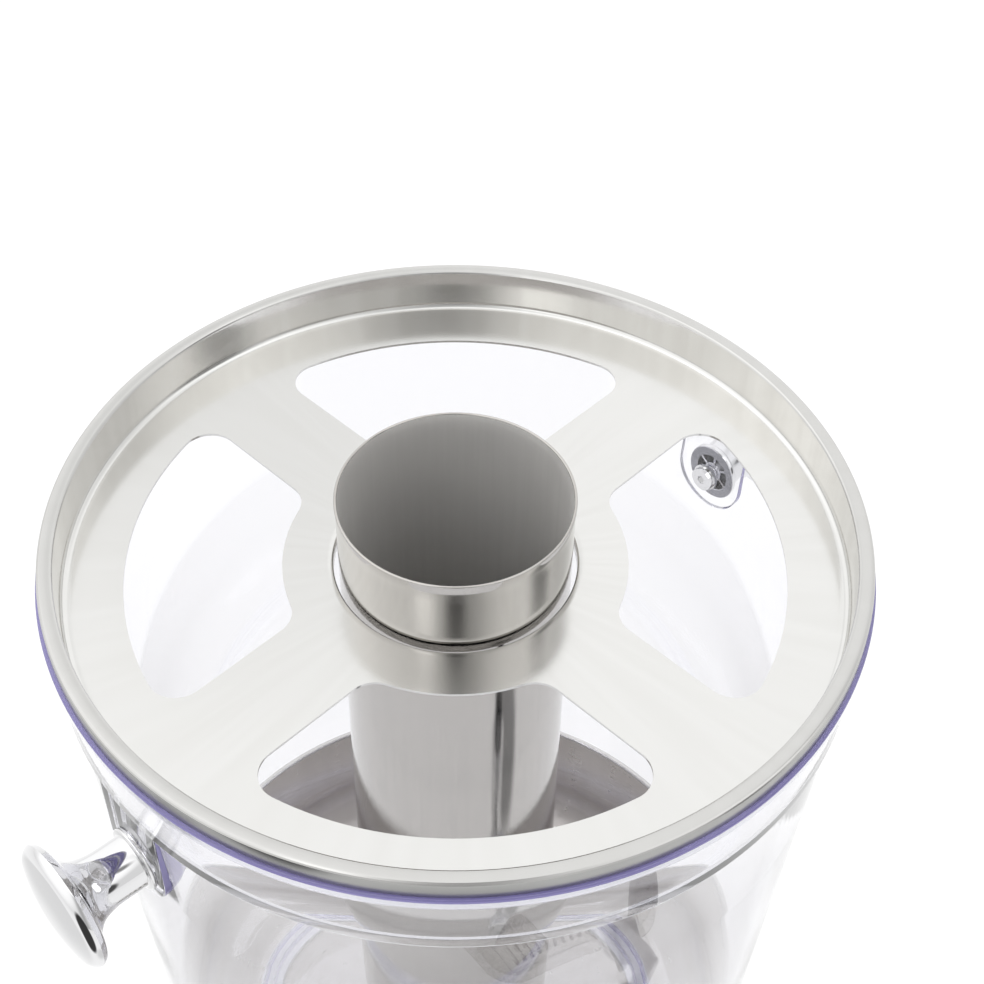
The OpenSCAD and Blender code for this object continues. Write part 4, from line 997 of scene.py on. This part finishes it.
def buildFloor(size):
    bm = bmesh.new()
    bmesh.ops.create_grid(bm, x_segments=1, y_segments=1, size=size["half"])
    floor = makeObject("floor", bm, Matrix())
    tree, shader, _ = newFinish("paleFloor")
    link = tree.links.new
    shader.inputs["Base Color"].default_value = (size["pale"], size["pale"], size["pale"], 1)
    shader.inputs["Roughness"].default_value = size["rough"]
    rays = addNode(tree, "ShaderNodeLightPath", -600, 300)
    seen = addNode(tree, "ShaderNodeMath", -400, 300, operation="ADD")
    link(rays.outputs["Is Camera Ray"], seen.inputs[0])
    link(rays.outputs["Is Glossy Ray"], seen.inputs[1])
    shown = addNode(tree, "ShaderNodeMath", -200, 300, operation="ADD", use_clamp=True)
    link(seen.outputs[0], shown.inputs[0])
    link(rays.outputs["Is Transmission Ray"], shown.inputs[1])
    part = addNode(tree, "ShaderNodeMath", 0, 300, operation="MULTIPLY")
    part.inputs[1].default_value = size["glow"]
    link(shown.outputs[0], part.inputs[0])
    coords = addNode(tree, "ShaderNodeTexCoord", -900, 0)
    mirrored = addNode(tree, "ShaderNodeMath", -700, -200, operation="GREATER_THAN")
    link(rays.outputs["Is Glossy Ray"], mirrored.inputs[0])
    link(rays.outputs["Is Transmission Ray"], mirrored.inputs[1])
    kinds = {"mirrored": mirrored.outputs[0], "through": rays.outputs["Is Transmission Ray"]}
    glow = addNode(tree, "ShaderNodeEmission", 0, 100)
    level = None
    # each spot paints shade into the floor's glow, for mirror rays or rays through the tank
    for i, (kind, spot, reach, core, strength) in enumerate(size["paintedShade"]):
        apart = addNode(tree, "ShaderNodeVectorMath", -700, -300 * i, operation="DISTANCE")
        apart.inputs[1].default_value = spot
        link(coords.outputs["Object"], apart.inputs[0])
        paintedShade = addNode(tree, "ShaderNodeMapRange", -500, -300 * i, interpolation_type="SMOOTHSTEP")
        paintedShade.inputs["From Min"].default_value = reach
        paintedShade.inputs["From Max"].default_value = core
        paintedShade.inputs["To Max"].default_value = strength
        link(apart.outputs["Value"], paintedShade.inputs["Value"])
        met = addNode(tree, "ShaderNodeMath", -300, -300 * i, operation="MULTIPLY")
        link(paintedShade.outputs[0], met.inputs[0])
        link(kinds[kind], met.inputs[1])
        left = addNode(tree, "ShaderNodeMath", -150, -300 * i, operation="SUBTRACT")
        left.inputs[0].default_value = 1
        link(met.outputs[0], left.inputs[1])
        if level:
            both = addNode(tree, "ShaderNodeMath", 0, -300 * i, operation="MULTIPLY")
            link(level, both.inputs[0])
            link(left.outputs[0], both.inputs[1])
        level = both.outputs[0] if level else left.outputs[0]
    link(level, glow.inputs["Strength"])
    mix = addNode(tree, "ShaderNodeMixShader", 300, 200)
    link(part.outputs[0], mix.inputs[0])
    link(shader.outputs[0], mix.inputs[1])
    link(glow.outputs[0], mix.inputs[2])
    out = tree.nodes["Material Output"]
    out.location = (500, 200)
    link(mix.outputs[0], out.inputs["Surface"])
    floor.data.materials.append(finishes["paleFloor"])


buildFloor(floorSize)


def buildWorld(size):
    world = bpy.data.worlds.new("studio")
    bpy.context.scene.world = world
    world.use_nodes = True
    tree = world.node_tree
    link = tree.links.new
    tree.nodes.clear()
    coords = addNode(tree, "ShaderNodeTexCoord", -1400, 0)

    def along(direction, y):
        dot = addNode(tree, "ShaderNodeVectorMath", -1150, y, operation="DOT_PRODUCT")
        dot.inputs[1].default_value = direction
        link(coords.outputs["Generated"], dot.inputs[0])
        return dot.outputs["Value"]

    def fade(value, low, high, strength, y):
        made = addNode(tree, "ShaderNodeMapRange", -950, y, interpolation_type="SMOOTHSTEP")
        made.inputs["From Min"].default_value = low
        made.inputs["From Max"].default_value = high
        made.inputs["To Max"].default_value = strength
        link(value, made.inputs["Value"])
        return made.outputs[0]

    def join(kind, first, second, x, y):
        made = addNode(tree, "ShaderNodeMath", x, y, operation=kind)
        for socket, value in zip(made.inputs, (first, second)):
            if isinstance(value, (int, float)):
                socket.default_value = value
            else:
                link(value, socket)
        return made.outputs[0]

    level = size["level"]
    for i, (direction, low, high, strength) in enumerate(size["glow"]):
        glow = fade(along(direction, 300 * i), low, high, strength, 300 * i)
        level = join("ADD", glow, level, -500 + 60 * i, 300 * i)
    for i, (direction, low, high, strength) in enumerate(size["dark"]):
        dark = fade(along(direction, -300 - 300 * i), low, high, strength, -300 - 300 * i)
        level = join("MULTIPLY", level, join("SUBTRACT", 1, dark, -500, -300 - 300 * i), -300 + 60 * i, 0)
    across, offset, wide, narrow, strength = size["strip"]
    aside = join("ABSOLUTE", join("SUBTRACT", along(across, -1200), offset, -1000, -1350), 0, -1000, -1200)
    strip = fade(aside, wide, narrow, strength, -1200)
    towards, low, high = size["towards"]
    facing = fade(along(towards, -1500), low, high, 1, -1500)
    shaded = join("MULTIPLY", strip, facing, -600, -1200)
    level = join("MULTIPLY", level, join("SUBTRACT", 1, shaded, -450, -1200), 0, 0)
    rays = addNode(tree, "ShaderNodeLightPath", -250, 500)
    plain = join("MAXIMUM", rays.outputs["Is Camera Ray"], rays.outputs["Is Transmission Ray"], 80, 500)
    choose = addNode(tree, "ShaderNodeMix", 450, 200, data_type="FLOAT")
    choose.inputs["B"].default_value = 1
    link(plain, choose.inputs["Factor"])
    link(level, choose.inputs["A"])
    sky = addNode(tree, "ShaderNodeBackground", 650, 200)
    sky.inputs["Color"].default_value = (1, 1, 1, 1)
    link(choose.outputs["Result"], sky.inputs["Strength"])
    out = addNode(tree, "ShaderNodeOutputWorld", 850, 200)
    link(sky.outputs[0], out.inputs["Surface"])


def buildCard(size):
    bm = bmesh.new()
    bmesh.ops.create_grid(bm, x_segments=1, y_segments=1, size=size["half"])
    spot = Vector(size["spot"])
    turn = (Vector(size["facing"]) - spot).to_track_quat("Z", "Y").to_matrix().to_4x4()
    card = makeObject("card", bm, Matrix.Translation(spot) @ turn)
    tree, _, coords = newFinish(size["name"])
    link = tree.links.new
    away = addNode(tree, "ShaderNodeVectorMath", -900, 0, operation="SUBTRACT")
    away.inputs[1].default_value = spot
    link(coords.outputs["Object"], away.inputs[0])
    flat = addNode(tree, "ShaderNodeVectorMath", -800, 0, operation="MULTIPLY")
    flat.inputs[1].default_value = (1, 1, size["flatten"])
    link(away.outputs[0], flat.inputs[0])
    apart = addNode(tree, "ShaderNodeVectorMath", -700, 0, operation="LENGTH")
    link(flat.outputs[0], apart.inputs[0])
    dense = addNode(tree, "ShaderNodeMapRange", -500, 0, interpolation_type="SMOOTHSTEP")
    dense.inputs["From Min"].default_value = size["edge"]
    dense.inputs["From Max"].default_value = size["core"]
    dense.inputs["To Max"].default_value = size["dense"]
    link(apart.outputs["Value"], dense.inputs["Value"])
    clear = addNode(tree, "ShaderNodeBsdfTransparent", -200, 100)
    glow = addNode(tree, "ShaderNodeEmission", -200, -100)
    glow.inputs["Strength"].default_value = size["glow"]
    mix = addNode(tree, "ShaderNodeMixShader", 100, 0)
    link(dense.outputs[0], mix.inputs[0])
    link(clear.outputs[0], mix.inputs[1])
    link(glow.outputs[0], mix.inputs[2])
    out = tree.nodes["Material Output"]
    out.location = (300, 0)
    link(mix.outputs[0], out.inputs["Surface"])
    card.data.materials.append(finishes[size["name"]])
    for kind in ("camera", "diffuse", "transmission", "volume_scatter", "shadow"):
        setattr(card, "visible_" + kind, False)


# soft-edged cards over the lid and beside a knob, which only mirrors see
cards = [
    {"name": "darkCard", "spot": (0.137, -0.088, 0.689), "facing": (0.02, 0.03, 0.52),
     "half": 0.062, "edge": 0.062, "core": 0.015, "flatten": 1, "dense": 0.75, "glow": 0.02},
    {"name": "brightCard", "spot": (-0.216, -0.024, 0.71), "facing": (-0.02, 0.04, 0.52),
     "half": 0.06, "edge": 0.06, "core": 0.02, "flatten": 1, "dense": 0.9, "glow": 2.0},
    {"name": "eyeCard", "spot": (-0.0948, -0.0502, 0.632), "facing": (-0.028, 0.028, 0.527),
     "half": 0.04, "edge": 0.032, "core": 0.008, "flatten": 0.6, "dense": 0.8, "glow": 0.03},
    {"name": "knobCard", "spot": (-0.226, -0.004, 0.45), "facing": (-0.14, 0.045, 0.48),
     "half": 0.08, "edge": 0.05, "core": 0.036, "flatten": 0.55, "dense": 0.97, "glow": 0.02},
]
for card in cards:
    buildCard(card)

# bright and dark parts of the surroundings, as mirrors see them
surroundings = {
    "level": 0.85,
    # direction, cosine of the edge and of the core, strength
    "glow": [((0.453, 0.527, 0.719), 0.1, 0.8, 0.42), ((-0.70, 0.30, 0.65), 0.5, 0.95, 0.45),
             ((0.342, -0.61, 0.714), 0.84, 0.98, 0.45), ((0.715, -0.20, 0.67), 0.88, 0.985, -0.25),
             ((0.39, 0.625, 0.676), 0.984, 0.998, -0.17)],
    "dark": [((0.46, -0.87, 0.16), 0.965, 0.99, 0.9)],
    # a dim upright strip: direction across it, offset, half width of its edge and core, strength
    "strip": ((0.758, -0.652, 0), 0.02, 0.32, 0.02, 0.42),
    "towards": ((-0.652, -0.758, 0), 0.25, 0.5),  # the side that the strip is on, and where it fades in
}
buildWorld(surroundings)

studio = {
    "lens": 63.19, "sensor": 36, "shift": 0.0371, "near": 0.02,
    "eye": (-0.2159, -0.1910, 0.8866), "look": (0.4548, 0.5287, -0.7166),
    "lamps": [((-1.3, -0.2, 1.7), 1.2, 14), ((1.2, -0.9, 1.6), 1.2, 8), ((0.5, 1.4, 1.8), 1.4, 14)],
    "aim": (0, 0.05, 0.35),
}

for spot, size, watts in studio["lamps"]:
    lamp = bpy.data.lights.new("softLamp", "AREA")
    lamp.size = size
    lamp.energy = watts
    made = bpy.data.objects.new("softLamp", lamp)
    made.location = spot
    made.rotation_euler = (Vector(studio["aim"]) - Vector(spot)).to_track_quat("-Z", "Y").to_euler()
    made.visible_glossy = False
    bpy.context.scene.collection.objects.link(made)

lens = bpy.data.cameras.new("camera")
lens.lens = studio["lens"]
lens.sensor_width = studio["sensor"]
lens.shift_x = studio["shift"]
lens.clip_start = studio["near"]
camera = bpy.data.objects.new("camera", lens)
camera.location = studio["eye"]
camera.rotation_euler = Vector(studio["look"]).to_track_quat("-Z", "Y").to_euler()
bpy.context.scene.collection.objects.link(camera)
bpy.context.scene.camera = camera
bpy.context.scene.view_settings.view_transform = "Standard"
print("studio done")
